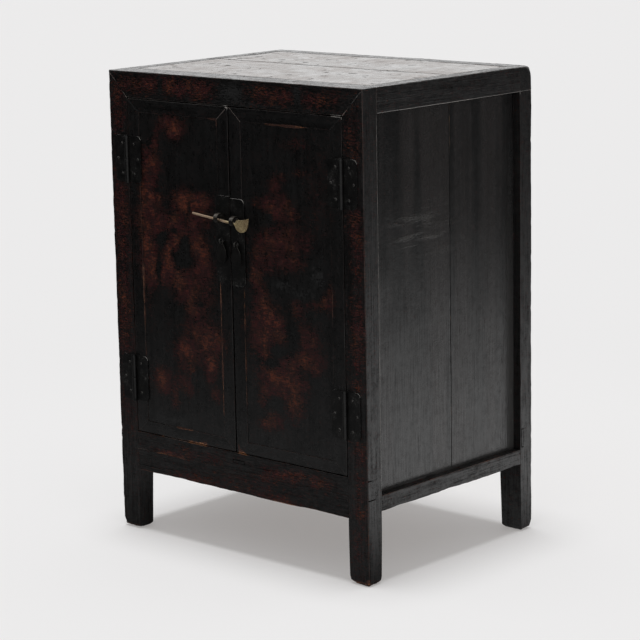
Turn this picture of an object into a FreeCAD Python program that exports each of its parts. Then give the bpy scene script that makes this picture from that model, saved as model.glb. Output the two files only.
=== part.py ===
import FreeCAD, Part
import math
import os

from FreeCAD import Vector

os.makedirs("parts", exist_ok=True)

# A small two-door lacquered cabinet on four square legs.
# X runs along the front, Y from the front to the back, Z up from the floor.
# The origin is on the floor, under the middle of the whole, lock eyes included.

# Case
case_w = 578.0
case_d = 436.0
case_h = 812.0

# Fits
fit = 0.1
run_fit = 0.06
hair = 0.3
overrun = 5.0

# Posts
front_post_w = 43.0
front_post_d = 34.0
rear_post_w = 45.0
rear_post_d = 32.0
leg_taper_w = 1.8
leg_taper_d = 2.8
leg_taper_top = 106.0
sole_round = 3.0

# Top frame
head_rail_h = 45.0
head_rail_d = 46.0
top_rail_h = 42.0
side_rail_w = 26.0
top_board_t = 14.0
top_tongue_t = 7.0
top_seam_back = 243.0
seam_gap = 0.6
rail_tenon_t = 12.0
rail_tenon_long = 34.0
rail_tenon_lift = 4.0
short_tenon = 10.0
post_tenon_long = 20.0
post_tenon_w = 14.0
post_tenon_in = 8.0
tenon_shoulder = 6.0

# Bottom frame
sill_top = 179.0
sill_h = 31.0
sill_d = 32.0
sill_tenon_t = 16.0
sill_tenon_back = 10.0
sill_tenon_shoulder = 1.0
apron_h = 39.0
apron_t = 12.0
apron_tongue = 6.0
apron_tongue_t = 6.0
side_sill_h = 28.0
rear_sill_h = 36.0
rear_sill_low = 150.0
rear_sill_d = 30.0
rear_tenon_t = 10.0
rear_tenon_back = 13.0
side_sill_tenon = 14.0

# Panels in the sides and the back
panel_t = 8.0
tongue = 6.0
groove_extra = 1.0
side_recess = 15.0
back_recess = 6.0
side_seam_back = 233.0
back_boards = 3

# Floor, shelf and the battens that carry them
board_t = 12.0
floor_rise = 6.0
floor_rebate = 8.0
bearer_h = 20.0
batten_h = 30.0
batten_t = 14.0
batten_tenon = 6.0
batten_tenon_t = 7.0
shelf_top = 482.0
shelf_setback = 60.0
top_batten_w = 32.0
top_batten_h = 18.0

# Doors
door_t = 20.0
door_gap = 1.5
meeting_gap = 3.0
meeting_offset = -5.0
stile_w = 26.0
door_head_h = 22.5
door_foot_h = 20.5
door_panel_recess = 0.8
door_panel_lip = 3.2
door_tongue = 5.0
door_tenon_t = 5.0
door_tenon_h = 9.0
door_tenon_in = 8.0
door_tenon_end = 6.0
door_batten_h = 30.0
door_batten_rise = 284.0
stop_gap = 0.5

# Hinges: one rolled barrel on each leaf, the door's above the post's
hinge_h = 80.0
hinge_w = 31.0
hinge_t = 1.4
hinge_corner_r = 8.0
barrel_r = 4.0
hinge_pin_r = 1.8
hinge_pin_head_r = 3.0
hinge_pin_head_h = 1.4
barrel_gap = 0.4
hinge_rises = {"left": 56.0, "right": 62.0}
hinge_drops = {"left": 64.0, "right": 66.0}
nail_r = 1.0
nail_long = 12.0
nail_head_r = 2.6
nail_head_h = 1.2
nail_near = 14.0
nail_far = 24.0
nail_spread = 26.0

# Lock plates, their eyes and the pin through them
plate_t = 1.2
plate_w = 31.0
plate_h = 147.0
plate_corner_r = 9.0
plate_inset = 0.3
plate_rise = 289.5
right_hang = 2.6
eye_reach = 21.0
eye_outer_r = 8.3
eye_strap_t = 2.2
eye_strap_w = 8.0
eye_shank_w = 5.0
eye_rise = 111.0
eye_insets = {"left": 13.7, "right": 18.2}
clinch_long = 12.0
lock_pin_r = 2.1
lock_pin_rest = 0.55
lock_pin_out = 10.4
lock_pin_tip_x = 70.0
lock_pin_tip_clear = 0.4
lock_head_clear = 1.0
lock_head_w = 33.0
lock_head_h = 26.0
lock_head_t = 2.4
# Outline of the head: shares of its width along the pin and of its height across it, as arcs that
# run from a corner through a point on the way to the next corner
lock_head_corner_shares = [(0, -0.06), (0.97, 0.1), (1, 0.55), (0.24, 0.32)]
lock_head_way_shares = [(0.47, -0.45), (1.005, 0.33), (0.62, 0.39), (0.06, 0.16)]

# Drop pulls, each a leaf on a small ring
pull_ring_r = 5.0
pull_bar_r = 1.3
pull_rise = 71.5
pull_inset = 15.0
pull_shank_w = 2.6
pull_clinch_long = 9.0
leaf_t = 1.2
leaf_w = 22.5
leaf_drop = 36.0
leaf_rim = 1.6
leaf_play = 0.3
leaf_head_r = 3.9
leaf_shoulder_down_share = 0.45
leaf_shoulder_out_share = 0.72

# Places worked out from the sizes above
front_y = (eye_reach - case_d) / 2
back_y = front_y + case_d
side_x = case_w / 2
front_in_x = side_x - front_post_w
rear_in_x = side_x - rear_post_w
post_back_y = front_y + front_post_d
rear_face_y = back_y - rear_post_d
head_low = case_h - head_rail_h
rail_low = case_h - top_rail_h
rail_in_x = side_x - side_rail_w
board_low = case_h - top_board_t
head_back_y = front_y + head_rail_d
top_seam_y = front_y + top_seam_back
panel_out_x = side_x - side_recess
panel_in_x = panel_out_x - panel_t
panel_y = (back_y - back_recess - panel_t, back_y - back_recess)
side_seam_y = front_y + side_seam_back
sill_low = sill_top - sill_h
side_sill_low = sill_low - side_sill_h
rear_sill_top = rear_sill_low + rear_sill_h
floor_top = sill_top + floor_rise
floor_low = floor_top - board_t
shelf_low = shelf_top - board_t
groove = tongue + groove_extra
door_groove = door_tongue + groove_extra

door_low = sill_top + door_gap
door_top = head_low - door_gap
door_y = (front_y, front_y + door_t)
pane_low = door_low + door_foot_h
pane_top = door_top - door_head_h
pane_y = (front_y + door_panel_recess, front_y + door_panel_recess + panel_t)
pane_lip_y = (front_y + door_panel_recess + door_panel_lip, pane_y[1])
axis_y = front_y - barrel_r - hair

# For each door: the side of its hinges, and the X of its two long edges
sides = {"left": -1, "right": 1}
hinge_edge = {name: sign * (front_in_x - door_gap) for name, sign in sides.items()}
meeting_edge = {name: meeting_offset + sign * meeting_gap / 2 for name, sign in sides.items()}
axis_x = {name: sign * (front_in_x - door_gap / 2) for name, sign in sides.items()}
hang = {"left": 0.0, "right": right_hang}


def span(a, b):
    """Two ends in rising order."""
    return (min(a, b), max(a, b))


def wider(ends, gap):
    """A span with a gap added at each end."""
    return (ends[0] - gap, ends[1] + gap)


def block(x, y, z):
    """A box between pairs of X, Y and Z."""
    return Part.makeBox(x[1] - x[0], y[1] - y[0], z[1] - z[0], Vector(x[0], y[0], z[0]))


def socket(x, y, z):
    """The space cut for a block of this size: the block and its fit all round."""
    return block(wider(x, fit), wider(y, fit), wider(z, fit))


def slab(points, y):
    """A flat outline in X and Z, as thick as the span in Y."""
    corners = [Vector(px, y[0], pz) for px, pz in points]
    wire = Part.makePolygon(corners + [corners[0]])
    return Part.Face(wire).extrude(Vector(0, y[1] - y[0], 0))


def middle(ends):
    return (ends[0] + ends[1]) / 2


# Joints that two pieces share: each is a block, added to one piece and cut from the other
def sill_tenon(sign):
    """Through tenon of the front sill: its end shows on the post's outer face."""
    y = front_y + sill_tenon_back
    return (span(sign * front_in_x, sign * side_x), (y, y + sill_tenon_t),
            (sill_low + sill_tenon_shoulder, sill_top - sill_tenon_shoulder))


def rear_tenon(sign):
    """Through tenon of the rear sill."""
    y = back_y - rear_tenon_back
    return (span(sign * rear_in_x, sign * side_x), (y - rear_tenon_t, y),
            (rear_sill_low + sill_tenon_shoulder, rear_sill_top - sill_tenon_shoulder))


def head_tenon(sign):
    """Tenon of the front top rail, hidden behind the mitre."""
    y = front_y + (front_post_d - rail_tenon_t) / 2
    z = head_low + rail_tenon_lift
    return (span(sign * front_in_x, sign * (front_in_x + rail_tenon_long)), (y, y + rail_tenon_t),
            (z, z + rail_tenon_t))


def side_rail_x(sign):
    """Middle of a side rail's width, where its tenons are."""
    inner = rail_in_x + (side_rail_w - rail_tenon_t) / 2 + groove_extra
    return span(sign * inner, sign * (inner + short_tenon))


def side_rail_front_tenon(sign):
    z = rail_low + rail_tenon_lift
    return (side_rail_x(sign), (post_back_y - short_tenon, post_back_y), (z, z + rail_tenon_t))


def side_rail_rear_tenon(sign):
    z = rail_low + groove + groove_extra
    return (side_rail_x(sign), (rear_face_y, rear_face_y + short_tenon), (z, z + rail_tenon_t))


def side_sill_tenons(sign):
    z = (side_sill_low + tenon_shoulder, sill_low - groove - groove_extra)
    return [(side_rail_x(sign), (post_back_y - side_sill_tenon, post_back_y), z),
            (side_rail_x(sign), (rear_face_y, rear_face_y + side_sill_tenon), z)]


def rear_post_tenon(sign):
    """Tenon on top of a rear post, up into the rear rail that lies over it."""
    x = rear_in_x + post_tenon_in
    y = rear_face_y + (rear_post_d - rail_tenon_t) / 2
    return (span(sign * x, sign * (x + post_tenon_w)), (y, y + rail_tenon_t),
            (rail_low, rail_low + post_tenon_long))


def apron_end(sign):
    y = front_y + (apron_t - apron_tongue_t) / 2
    return (span(sign * front_in_x, sign * (front_in_x + apron_tongue)), (y, y + apron_tongue_t),
            (sill_low - apron_h + tenon_shoulder, sill_low))


def side_batten_ends(sign, low, high):
    """Tenons of a batten that runs from post to post behind a side panel."""
    inner = panel_in_x - (batten_t + batten_tenon_t) / 2
    x = span(sign * inner, sign * (inner + batten_tenon_t))
    z = (low + tenon_shoulder / 2, high - tenon_shoulder / 2)
    return [(x, (post_back_y - batten_tenon, post_back_y), z),
            (x, (rear_face_y, rear_face_y + batten_tenon), z)]


def back_batten_end(sign):
    y = panel_y[0] - (batten_t + batten_tenon_t) / 2
    return (span(sign * rear_in_x, sign * (rear_in_x + batten_tenon)), (y, y + batten_tenon_t),
            (shelf_low - batten_h + tenon_shoulder / 2, shelf_low - tenon_shoulder / 2))


def side_panel_groove(sign):
    """The groove that a side panel stands in, cut from both posts and both rails."""
    x = wider(span(sign * panel_in_x, sign * panel_out_x), fit)
    return block(x, (post_back_y - groove, rear_face_y + groove), (sill_low - groove, rail_low + groove))


def back_panel_groove():
    reach = rear_in_x + groove
    return block((-reach, reach), wider(panel_y, fit), (rear_sill_top - groove, rail_low + groove))


def top_panel_groove():
    """The groove round the inside of the top frame for the tongues of its boards."""
    reach = rail_in_x + groove
    return block((-reach, reach), (head_back_y - groove, rear_face_y + groove),
                 (board_low - fit, board_low + top_tongue_t + fit))


def top_batten_end(back):
    x = (-(top_batten_w - tenon_shoulder) / 2, (top_batten_w - tenon_shoulder) / 2)
    z = (board_low - top_batten_h + tenon_shoulder / 2, board_low - tenon_shoulder)
    y = (rear_face_y, rear_face_y + short_tenon) if back else (head_back_y - short_tenon, head_back_y)
    return (x, y, z)


# Legs and posts
def tapered_post(sign, inner_x, y, top, inner_y):
    """A post whose foot narrows on its two inner faces, with its sole's edges rounded."""
    outer_y = y[0] + y[1] - inner_y
    inward = math.copysign(leg_taper_d, outer_y - inner_y)

    def ring(x_in, y_in, z):
        near = sign * x_in
        far = sign * side_x
        corners = [Vector(x, y, z) for x, y in ((near, outer_y), (far, outer_y), (far, y_in), (near, y_in))]
        return Part.makePolygon(corners + [corners[0]])

    sole_ring = ring(inner_x + leg_taper_w, inner_y + inward, 0)
    foot = Part.makeLoft([sole_ring, ring(inner_x, inner_y, leg_taper_top)], True, True)
    sole = [edge for edge in foot.Edges if edge.BoundBox.ZMax < sole_round / 2]
    foot = foot.makeFillet(sole_round, sole)
    return foot.fuse(block(span(sign * inner_x, sign * side_x), y, (leg_taper_top, top))).removeSplitter()


def mitre_corner(sign, reach):
    """The corner above a front post that belongs to the top rail."""
    points = [(sign * front_in_x, head_low), (sign * side_x, case_h), (sign * front_in_x, case_h)]
    return slab(points, (front_y, front_y + reach))


def front_post(sign):
    post = tapered_post(sign, front_in_x, (front_y, post_back_y), case_h, post_back_y)
    cuts = [mitre_corner(sign, front_post_d)]
    cuts += [socket(*sill_tenon(sign)), socket(*head_tenon(sign)), socket(*apron_end(sign))]
    cuts += [socket(*side_rail_front_tenon(sign)), socket(*side_sill_tenons(sign)[0])]
    cuts += [socket(*side_batten_ends(sign, *bearer_z)[0]), socket(*side_batten_ends(sign, *batten_z)[0])]
    cuts.append(side_panel_groove(sign))
    name = "left" if sign < 0 else "right"
    return post.cut(cuts + nail_holes(name, sign))


def rear_post(sign):
    post = tapered_post(sign, rear_in_x, (rear_face_y, back_y), rail_low, rear_face_y)
    post = post.fuse(block(*rear_post_tenon(sign)))
    cuts = [socket(*rear_tenon(sign)), socket(*side_sill_tenons(sign)[1]), socket(*back_batten_end(sign))]
    cuts += [socket(*side_batten_ends(sign, *bearer_z)[1]), socket(*side_batten_ends(sign, *batten_z)[1])]
    cuts += [side_panel_groove(sign), back_panel_groove()]
    return post.cut(cuts)


# Top frame and its boards
def top_front_rail():
    rail = block((-front_in_x, front_in_x), (front_y, post_back_y), (head_low, case_h))
    rail = rail.fuse(block((-rail_in_x, rail_in_x), (post_back_y, head_back_y), (head_low, case_h)))
    for sign in (-1, 1):
        rail = rail.fuse([mitre_corner(sign, front_post_d), block(*head_tenon(sign))])
    return rail.removeSplitter().cut([top_panel_groove(), socket(*top_batten_end(False))])


def top_rear_rail():
    rail = block((-side_x, side_x), (rear_face_y, back_y), (rail_low, case_h))
    cuts = [top_panel_groove(), back_panel_groove(), socket(*top_batten_end(True))]
    for sign in (-1, 1):
        cuts += [socket(*rear_post_tenon(sign)), socket(*side_rail_rear_tenon(sign)), side_panel_groove(sign)]
    return rail.cut(cuts)


def top_side_rail(sign):
    rail = block(span(sign * rail_in_x, sign * side_x), (post_back_y, rear_face_y), (rail_low, case_h))
    rail = rail.fuse([block(*side_rail_front_tenon(sign)), block(*side_rail_rear_tenon(sign))])
    return rail.cut([top_panel_groove(), side_panel_groove(sign)])


def top_board(front):
    """A board flush with the frame, with a tongue along the three edges that it holds in."""
    reach = rail_in_x + tongue
    if front:
        face_y = (head_back_y + hair, top_seam_y - seam_gap / 2)
        tongue_y = (head_back_y - tongue, face_y[1])
    else:
        face_y = (top_seam_y + seam_gap / 2, rear_face_y - hair)
        tongue_y = (face_y[0], rear_face_y + tongue)
    face = block((-rail_in_x + hair, rail_in_x - hair), face_y, (board_low, case_h))
    return face.fuse(block((-reach, reach), tongue_y, (board_low, board_low + top_tongue_t)))


def top_batten():
    half = top_batten_w / 2
    bar = block((-half, half), (head_back_y, rear_face_y), (board_low - top_batten_h, board_low))
    return bar.fuse([block(*top_batten_end(False)), block(*top_batten_end(True))])


# Bottom frame
def bottom_front_rail():
    """The sill, rebated behind for the floor."""
    rail = block((-front_in_x, front_in_x), (front_y, front_y + sill_d), (sill_low, sill_top))
    rail = rail.fuse([block(*sill_tenon(sign)) for sign in (-1, 1)])
    rebate = block((-front_in_x, front_in_x), (front_y + door_t + stop_gap, front_y + sill_d + overrun),
                   (floor_low, sill_top + overrun))
    return rail.cut(rebate)


def front_apron():
    board = block((-front_in_x, front_in_x), (front_y, front_y + apron_t), (sill_low - apron_h, sill_low))
    return board.fuse([block(*apron_end(sign)) for sign in (-1, 1)])


def bottom_side_rail(sign):
    rail = block(span(sign * rail_in_x, sign * side_x), (post_back_y, rear_face_y), (side_sill_low, sill_low))
    rail = rail.fuse([block(*tenon) for tenon in side_sill_tenons(sign)])
    return rail.cut(side_panel_groove(sign))


def bottom_rear_rail():
    front = back_y - rear_sill_d
    rail = block((-rear_in_x, rear_in_x), (front, back_y), (rear_sill_low, rear_sill_top))
    rail = rail.fuse([block(*rear_tenon(sign)) for sign in (-1, 1)])
    rebate = block((-rear_in_x, rear_in_x), (front - overrun, front + floor_rebate),
                   (floor_low, rear_sill_top + overrun))
    return rail.cut([rebate, back_panel_groove()])


# Boards of the sides and the back
def side_board(sign, front):
    if front:
        y = (post_back_y - tongue, side_seam_y - seam_gap / 2)
    else:
        y = (side_seam_y + seam_gap / 2, rear_face_y + tongue)
    return block(span(sign * panel_in_x, sign * panel_out_x), y, (sill_low - tongue, rail_low + tongue))


def back_board(place):
    """One of the back's boards, counted from the left."""
    reach = rear_in_x + tongue
    each = 2 * reach / back_boards
    low = -reach + place * each
    x = (low + seam_gap / 2, low + each - seam_gap / 2)
    return block(x, panel_y, (rear_sill_top - tongue, rail_low + tongue))


# Floor, shelf and their battens
bearer_z = (floor_low - bearer_h, floor_low)
batten_z = (shelf_low - batten_h, shelf_low)


def side_bar(sign, z):
    bar = block(span(sign * (panel_in_x - batten_t), sign * panel_in_x), (post_back_y, rear_face_y), z)
    return bar.fuse([block(*tenon) for tenon in side_batten_ends(sign, *z)])


def back_batten():
    bar = block((-rear_in_x, rear_in_x), (panel_y[0] - batten_t, panel_y[0]), batten_z)
    return bar.fuse([block(*back_batten_end(sign)) for sign in (-1, 1)])


def floor_board(front):
    """A floor board, notched round the posts."""
    z = (floor_low, floor_top)
    wide = panel_in_x - hair
    seam = middle((post_back_y, rear_face_y))
    if front:
        slim = front_in_x - hair
        ends = (front_y + door_t + stop_gap, post_back_y + hair, seam - seam_gap / 2)
    else:
        slim = rear_in_x - hair
        ends = (back_y - rear_sill_d + floor_rebate - hair, rear_face_y - hair, seam + seam_gap / 2)
    board = block((-slim, slim), span(ends[0], ends[1]), z)
    return board.fuse(block((-wide, wide), span(ends[1], ends[2]), z))


def shelf_board():
    z = (shelf_low, shelf_top)
    wide = panel_in_x - hair
    slim = rear_in_x - hair
    board = block((-wide, wide), (front_y + shelf_setback, rear_face_y - hair), z)
    return board.fuse(block((-slim, slim), (rear_face_y - hair, panel_y[0] - hair), z))


# Doors
def door_corners(name):
    """The outer and inner X of a door's frame, from its hinges to its meeting edge."""
    sign = sides[name]
    hinge = hinge_edge[name]
    meet = meeting_edge[name]
    return hinge, hinge - sign * stile_w, meet + sign * stile_w, meet


def door_tenons(name):
    """Tenons of the two door rails in the two stiles, as (rail, stile, block)."""
    hinge, pane_hinge, pane_meet, meet = door_corners(name)
    y = (pane_y[1] + fit + hair, pane_y[1] + fit + hair + door_tenon_t)
    found = []
    for rail, edge, way in (("top", pane_top, 1), ("bottom", pane_low, -1)):
        z = span(edge + way * door_tenon_in, edge + way * (door_tenon_in + door_tenon_h))
        for stile, outer, inner in (("hinge", hinge, pane_hinge), ("meeting", meet, pane_meet)):
            end = outer + math.copysign(door_tenon_end, inner - outer)
            found.append((rail, stile, (span(end, inner), y, z)))
    return found


def door_batten_ends(name):
    hinge, pane_hinge, pane_meet, meet = door_corners(name)
    low = door_low + door_batten_rise
    y = pane_y[1] + (door_y[1] - pane_y[1] - door_tenon_t) / 2
    z = (low + tenon_shoulder, low + door_batten_h - tenon_shoulder)
    ends = []
    for inner, outer in ((pane_hinge, hinge), (pane_meet, meet)):
        end = inner + math.copysign(short_tenon, outer - inner)
        ends.append((span(inner, end), (y, y + door_tenon_t), z))
    return ends


def door_groove_cut(name):
    hinge, pane_hinge, pane_meet, meet = door_corners(name)
    return block(wider(span(pane_hinge, pane_meet), door_groove), wider(pane_lip_y, fit),
                 (pane_low - door_groove, pane_top + door_groove))


def door_frame_piece(name, piece):
    """A stile or a rail with mitred ends; the rails carry the tenons."""
    hinge, pane_hinge, pane_meet, meet = door_corners(name)
    outlines = {
        "hinge": [(hinge, door_low), (hinge, door_top), (pane_hinge, pane_top), (pane_hinge, pane_low)],
        "meeting": [(meet, door_low), (meet, door_top), (pane_meet, pane_top), (pane_meet, pane_low)],
        "top": [(hinge, door_top), (meet, door_top), (pane_meet, pane_top), (pane_hinge, pane_top)],
        "bottom": [(hinge, door_low), (meet, door_low), (pane_meet, pane_low), (pane_hinge, pane_low)],
    }
    shape = slab(outlines[piece], door_y)
    cuts = [door_groove_cut(name)]
    for rail, stile, tenon in door_tenons(name):
        if piece == rail:
            shape = shape.fuse(block(*tenon))
        if piece == stile:
            cuts.append(socket(*tenon))
    if piece in ("hinge", "meeting"):
        cuts += [socket(*tenon) for tenon in door_batten_ends(name)]
    if piece == "hinge":
        cuts += nail_holes(name, -sides[name])
    if piece == "meeting":
        cuts += [socket(*shank) for shank in shanks(name)]
    return shape.cut(cuts)


def door_panel(name):
    hinge, pane_hinge, pane_meet, meet = door_corners(name)
    x = span(pane_hinge, pane_meet)
    face = block(wider(x, -hair), pane_y, (pane_low + hair, pane_top - hair))
    lip = block(wider(x, door_tongue), pane_lip_y, (pane_low - door_tongue, pane_top + door_tongue))
    return face.fuse(lip).cut(nail_holes(name, -sides[name]))


def door_batten(name):
    hinge, pane_hinge, pane_meet, meet = door_corners(name)
    low = door_low + door_batten_rise
    bar = block(span(pane_hinge, pane_meet), (pane_y[1], door_y[1]), (low, low + door_batten_h))
    bar = bar.fuse([block(*tenon) for tenon in door_batten_ends(name)])
    return bar.cut([socket(*shank) for shank in shanks(name)])


# Hinges and their nails
def hinge_lows(name):
    """The lower hinge is set out from the door's foot, the upper one from its head."""
    return [door_low + hinge_rises[name], door_top - hinge_drops[name] - hinge_h]


def nail_places(name, way):
    """Nails of one door's leaves, on the post (way outwards) or on the door (way inwards)."""
    places = []
    for low in hinge_lows(name):
        centre = low + hinge_h / 2
        places += [(axis_x[name] + way * nail_near, centre + nail_spread),
                   (axis_x[name] + way * nail_far, centre),
                   (axis_x[name] + way * nail_near, centre - nail_spread)]
    return places


def nail_holes(name, way):
    holes = []
    for x, z in nail_places(name, way):
        start = Vector(x, front_y - hinge_t - overrun, z)
        long = hinge_t + overrun + nail_long + hair
        holes.append(Part.makeCylinder(nail_r + run_fit, long, start, Vector(0, 1, 0)))
    return holes


def hinge_nails(name, way):
    """Hand-made nails with low round heads."""
    nails = []
    dome_r = (nail_head_r ** 2 + nail_head_h ** 2) / (2 * nail_head_h)
    face = front_y - hinge_t
    for x, z in nail_places(name, way):
        dome = Part.makeSphere(dome_r, Vector(x, face + dome_r - nail_head_h, z))
        keep = block((x - dome_r, x + dome_r), (face - dome_r, face), (z - dome_r, z + dome_r))
        shank = Part.makeCylinder(nail_r, hinge_t + nail_long, Vector(x, face, z), Vector(0, 1, 0))
        nails.append(dome.common(keep).fuse(shank).removeSplitter())
    return nails


def hinge_leaf(name, low, way, upper):
    """A flat leaf with its outer corners rounded, and a barrel over its upper or lower half."""
    x = axis_x[name]
    outer = x + way * hinge_w
    y = (front_y - hinge_t, front_y)
    leaf = block(span(x, outer), y, (low, low + hinge_h))
    corners = [edge for edge in leaf.Edges
               if abs(edge.BoundBox.XMin - outer) < fit and edge.BoundBox.YLength > hinge_t / 2
               and edge.BoundBox.ZLength < fit]
    leaf = leaf.makeFillet(hinge_corner_r, corners)
    half = hinge_h / 2
    gap = barrel_gap / 2
    barrel_low = low + half + gap if upper else low
    clear_low = low - overrun if upper else low + half - gap
    barrel = Part.makeCylinder(barrel_r, half - gap, Vector(x, axis_y, barrel_low))
    clear = Part.makeCylinder(barrel_r + barrel_gap, half + gap + overrun, Vector(x, axis_y, clear_low))
    bore = Part.makeCylinder(hinge_pin_r + run_fit, hinge_h + 2 * overrun, Vector(x, axis_y, low - overrun))
    leaf = leaf.cut(clear).fuse(barrel).removeSplitter()
    return leaf.cut([bore] + nail_holes(name, way))


def hinge_leaves(name, way, upper):
    return [hinge_leaf(name, low, way, upper) for low in hinge_lows(name)]


def hinge_pins():
    """A straight iron pin through each pair of barrels, spread over at both ends."""
    pins = []
    for name in sides:
        for low in hinge_lows(name):
            pin = Part.makeCylinder(hinge_pin_r, hinge_h, Vector(axis_x[name], axis_y, low))
            for z in (low - hinge_pin_head_h, low + hinge_h):
                head = Part.makeCylinder(hinge_pin_head_r, hinge_pin_head_h, Vector(axis_x[name], axis_y, z))
                pin = pin.fuse(head)
            pins.append(pin.removeSplitter())
    return pins


# Lock plates with their eyes, and the ring of each pull
def lock_place(name):
    """For one door: the plate's span in X, its bottom, and the X and Z of the eye and the pull."""
    sign = sides[name]
    edge = meeting_edge[name] + sign * plate_inset
    low = door_low + plate_rise - hang[name]
    eye = (edge + sign * eye_insets[name], low + eye_rise)
    pull = (edge + sign * pull_inset, low + pull_rise)
    return span(edge, edge + sign * plate_w), low, eye, pull


def shanks(name):
    """The two split shanks that go through a plate and its stile, as blocks."""
    x, low, eye, pull = lock_place(name)
    found = []
    for place, half_w, half_t in ((eye, eye_shank_w / 2, eye_strap_t), (pull, pull_shank_w / 2, pull_bar_r)):
        found.append(((place[0] - half_w, place[0] + half_w), (front_y - plate_t - hair, door_y[1]),
                      (place[1] - half_t, place[1] + half_t)))
    return found


def clinched(place, half_w, strap_t, long):
    """The two legs of a split shank, spread flat up and down on the back of the door."""
    x = (place[0] - half_w, place[0] + half_w)
    return block(x, (door_y[1], door_y[1] + strap_t), (place[1] - long, place[1] + long))


def lock_plate(name):
    x, low, eye, pull = lock_place(name)
    outer = x[0] if sides[name] < 0 else x[1]
    plate = block(x, (front_y - plate_t, front_y), (low, low + plate_h))
    corners = [edge for edge in plate.Edges
               if abs(edge.BoundBox.XMin - outer) < fit and edge.BoundBox.YLength > plate_t / 2
               and edge.BoundBox.ZLength < fit]
    plate = plate.makeFillet(plate_corner_r, corners)
    return plate.cut([socket(*shank) for shank in shanks(name)])


eye_start_y = front_y - plate_t - eye_outer_r
eye_end_y = front_y - eye_reach + eye_outer_r


def long_ring(centre_z, radius, x):
    """A ring drawn out along Y between the two round ends of an eye."""
    ends = [Part.makeCylinder(radius, x[1] - x[0], Vector(x[0], y, centre_z), Vector(1, 0, 0))
            for y in (eye_start_y, eye_end_y)]
    return block(x, (eye_end_y, eye_start_y), (centre_z - radius, centre_z + radius)).fuse(ends)


def lock_eye(name):
    """A strap bent round into an eye, its two ends driven through the plate and stile and spread."""
    x, low, eye, pull = lock_place(name)
    width = (eye[0] - eye_strap_w / 2, eye[0] + eye_strap_w / 2)
    ring = long_ring(eye[1], eye_outer_r, width)
    ring = ring.cut(long_ring(eye[1], eye_outer_r - eye_strap_t, wider(width, overrun)))
    shank = block(*shanks(name)[0])
    legs = clinched(eye, eye_shank_w / 2, eye_strap_t, clinch_long)
    return ring.fuse([shank, legs]).removeSplitter()


ring_y = front_y - plate_t - hair - pull_ring_r


def pull_eye(name):
    """A small ring of round bar on a split shank."""
    x, low, eye, pull = lock_place(name)
    centre = Vector(pull[0], ring_y, pull[1])
    ring = Part.makeTorus(pull_ring_r - pull_bar_r, pull_bar_r, centre, Vector(1, 0, 0))
    half = pull_shank_w / 2
    neck_y = (ring_y + pull_ring_r - pull_bar_r, front_y - plate_t - hair)
    neck = block((pull[0] - half, pull[0] + half), neck_y, (pull[1] - pull_bar_r, pull[1] + pull_bar_r))
    legs = clinched(pull, half, pull_bar_r, pull_clinch_long)
    return ring.fuse([neck, block(*shanks(name)[1]), legs]).removeSplitter()


def pull_leaf(name):
    """A flat leaf, small at the ring and wide and round below, pierced for the ring."""
    x, low, eye, pull = lock_place(name)
    rim_low = pull_ring_r - 2 * pull_bar_r - leaf_play
    rim_top = rim_low - leaf_rim
    y = ring_y - leaf_t / 2
    half = leaf_w / 2

    def at(across, down):
        return Vector(pull[0] + across, y, pull[1] - down)

    head_down = rim_top + leaf_head_r
    wide_down = leaf_drop - half
    shoulder_down = head_down + (wide_down - head_down) * leaf_shoulder_down_share
    shoulder = leaf_head_r + (half - leaf_head_r) * leaf_shoulder_out_share
    edges = [
        Part.Arc(at(-leaf_head_r, head_down), at(0, rim_top), at(leaf_head_r, head_down)),
        Part.Arc(at(leaf_head_r, head_down), at(shoulder, shoulder_down), at(half, wide_down)),
        Part.Arc(at(half, wide_down), at(0, leaf_drop), at(-half, wide_down)),
        Part.Arc(at(-half, wide_down), at(-shoulder, shoulder_down), at(-leaf_head_r, head_down)),
    ]
    wire = Part.Wire([edge.toShape() for edge in edges])
    leaf = Part.Face(wire).extrude(Vector(0, leaf_t, 0))
    hole_half = pull_bar_r + leaf_play
    hole = block((pull[0] - hole_half, pull[0] + hole_half), wider((y, y + leaf_t), overrun),
                 (pull[1] - pull_ring_r - 2 * leaf_play, pull[1] - rim_low))
    return leaf.cut(hole)


# The lock pin lies loose in both eyes, its tip near the left door and its head proud of the right
def pin_seat(name, out):
    """Where the pin's middle lies in an eye, this far in front of the doors' faces."""
    x, low, eye, pull = lock_place(name)
    y = front_y - out
    aside = max(0, eye_end_y - y, y - eye_start_y)
    drop = math.sqrt((eye_outer_r - eye_strap_t - lock_pin_r) ** 2 - aside ** 2) - lock_pin_rest
    return Vector(eye[0], y, eye[1] - drop)


def pin_line():
    """The tip of the pin and its direction towards the head."""
    left_x = lock_place("left")[2][0]
    right_x = lock_place("right")[2][0]
    slope = (lock_pin_out - lock_pin_r - lock_pin_tip_clear) / lock_pin_tip_x
    left = pin_seat("left", lock_pin_out)
    right = pin_seat("right", lock_pin_out + slope * (right_x - left_x))
    along = (right - left).normalize()
    tip = left - along * (lock_pin_tip_x / along.x)
    return tip, along


def pin_head(along_start):
    """A flat half-moon head with one raised corner, drawn along and across the pin."""

    def at(shares):
        return Vector(along_start + shares[0] * lock_head_w, -lock_head_t / 2, shares[1] * lock_head_h)

    corners = lock_head_corner_shares
    edges = []
    for start, way, end in zip(corners, lock_head_way_shares, corners[1:] + corners[:1]):
        edges.append(Part.Arc(at(start), at(way), at(end)).toShape())
    return Part.Face(Part.Wire(edges)).extrude(Vector(0, lock_head_t, 0))


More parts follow.
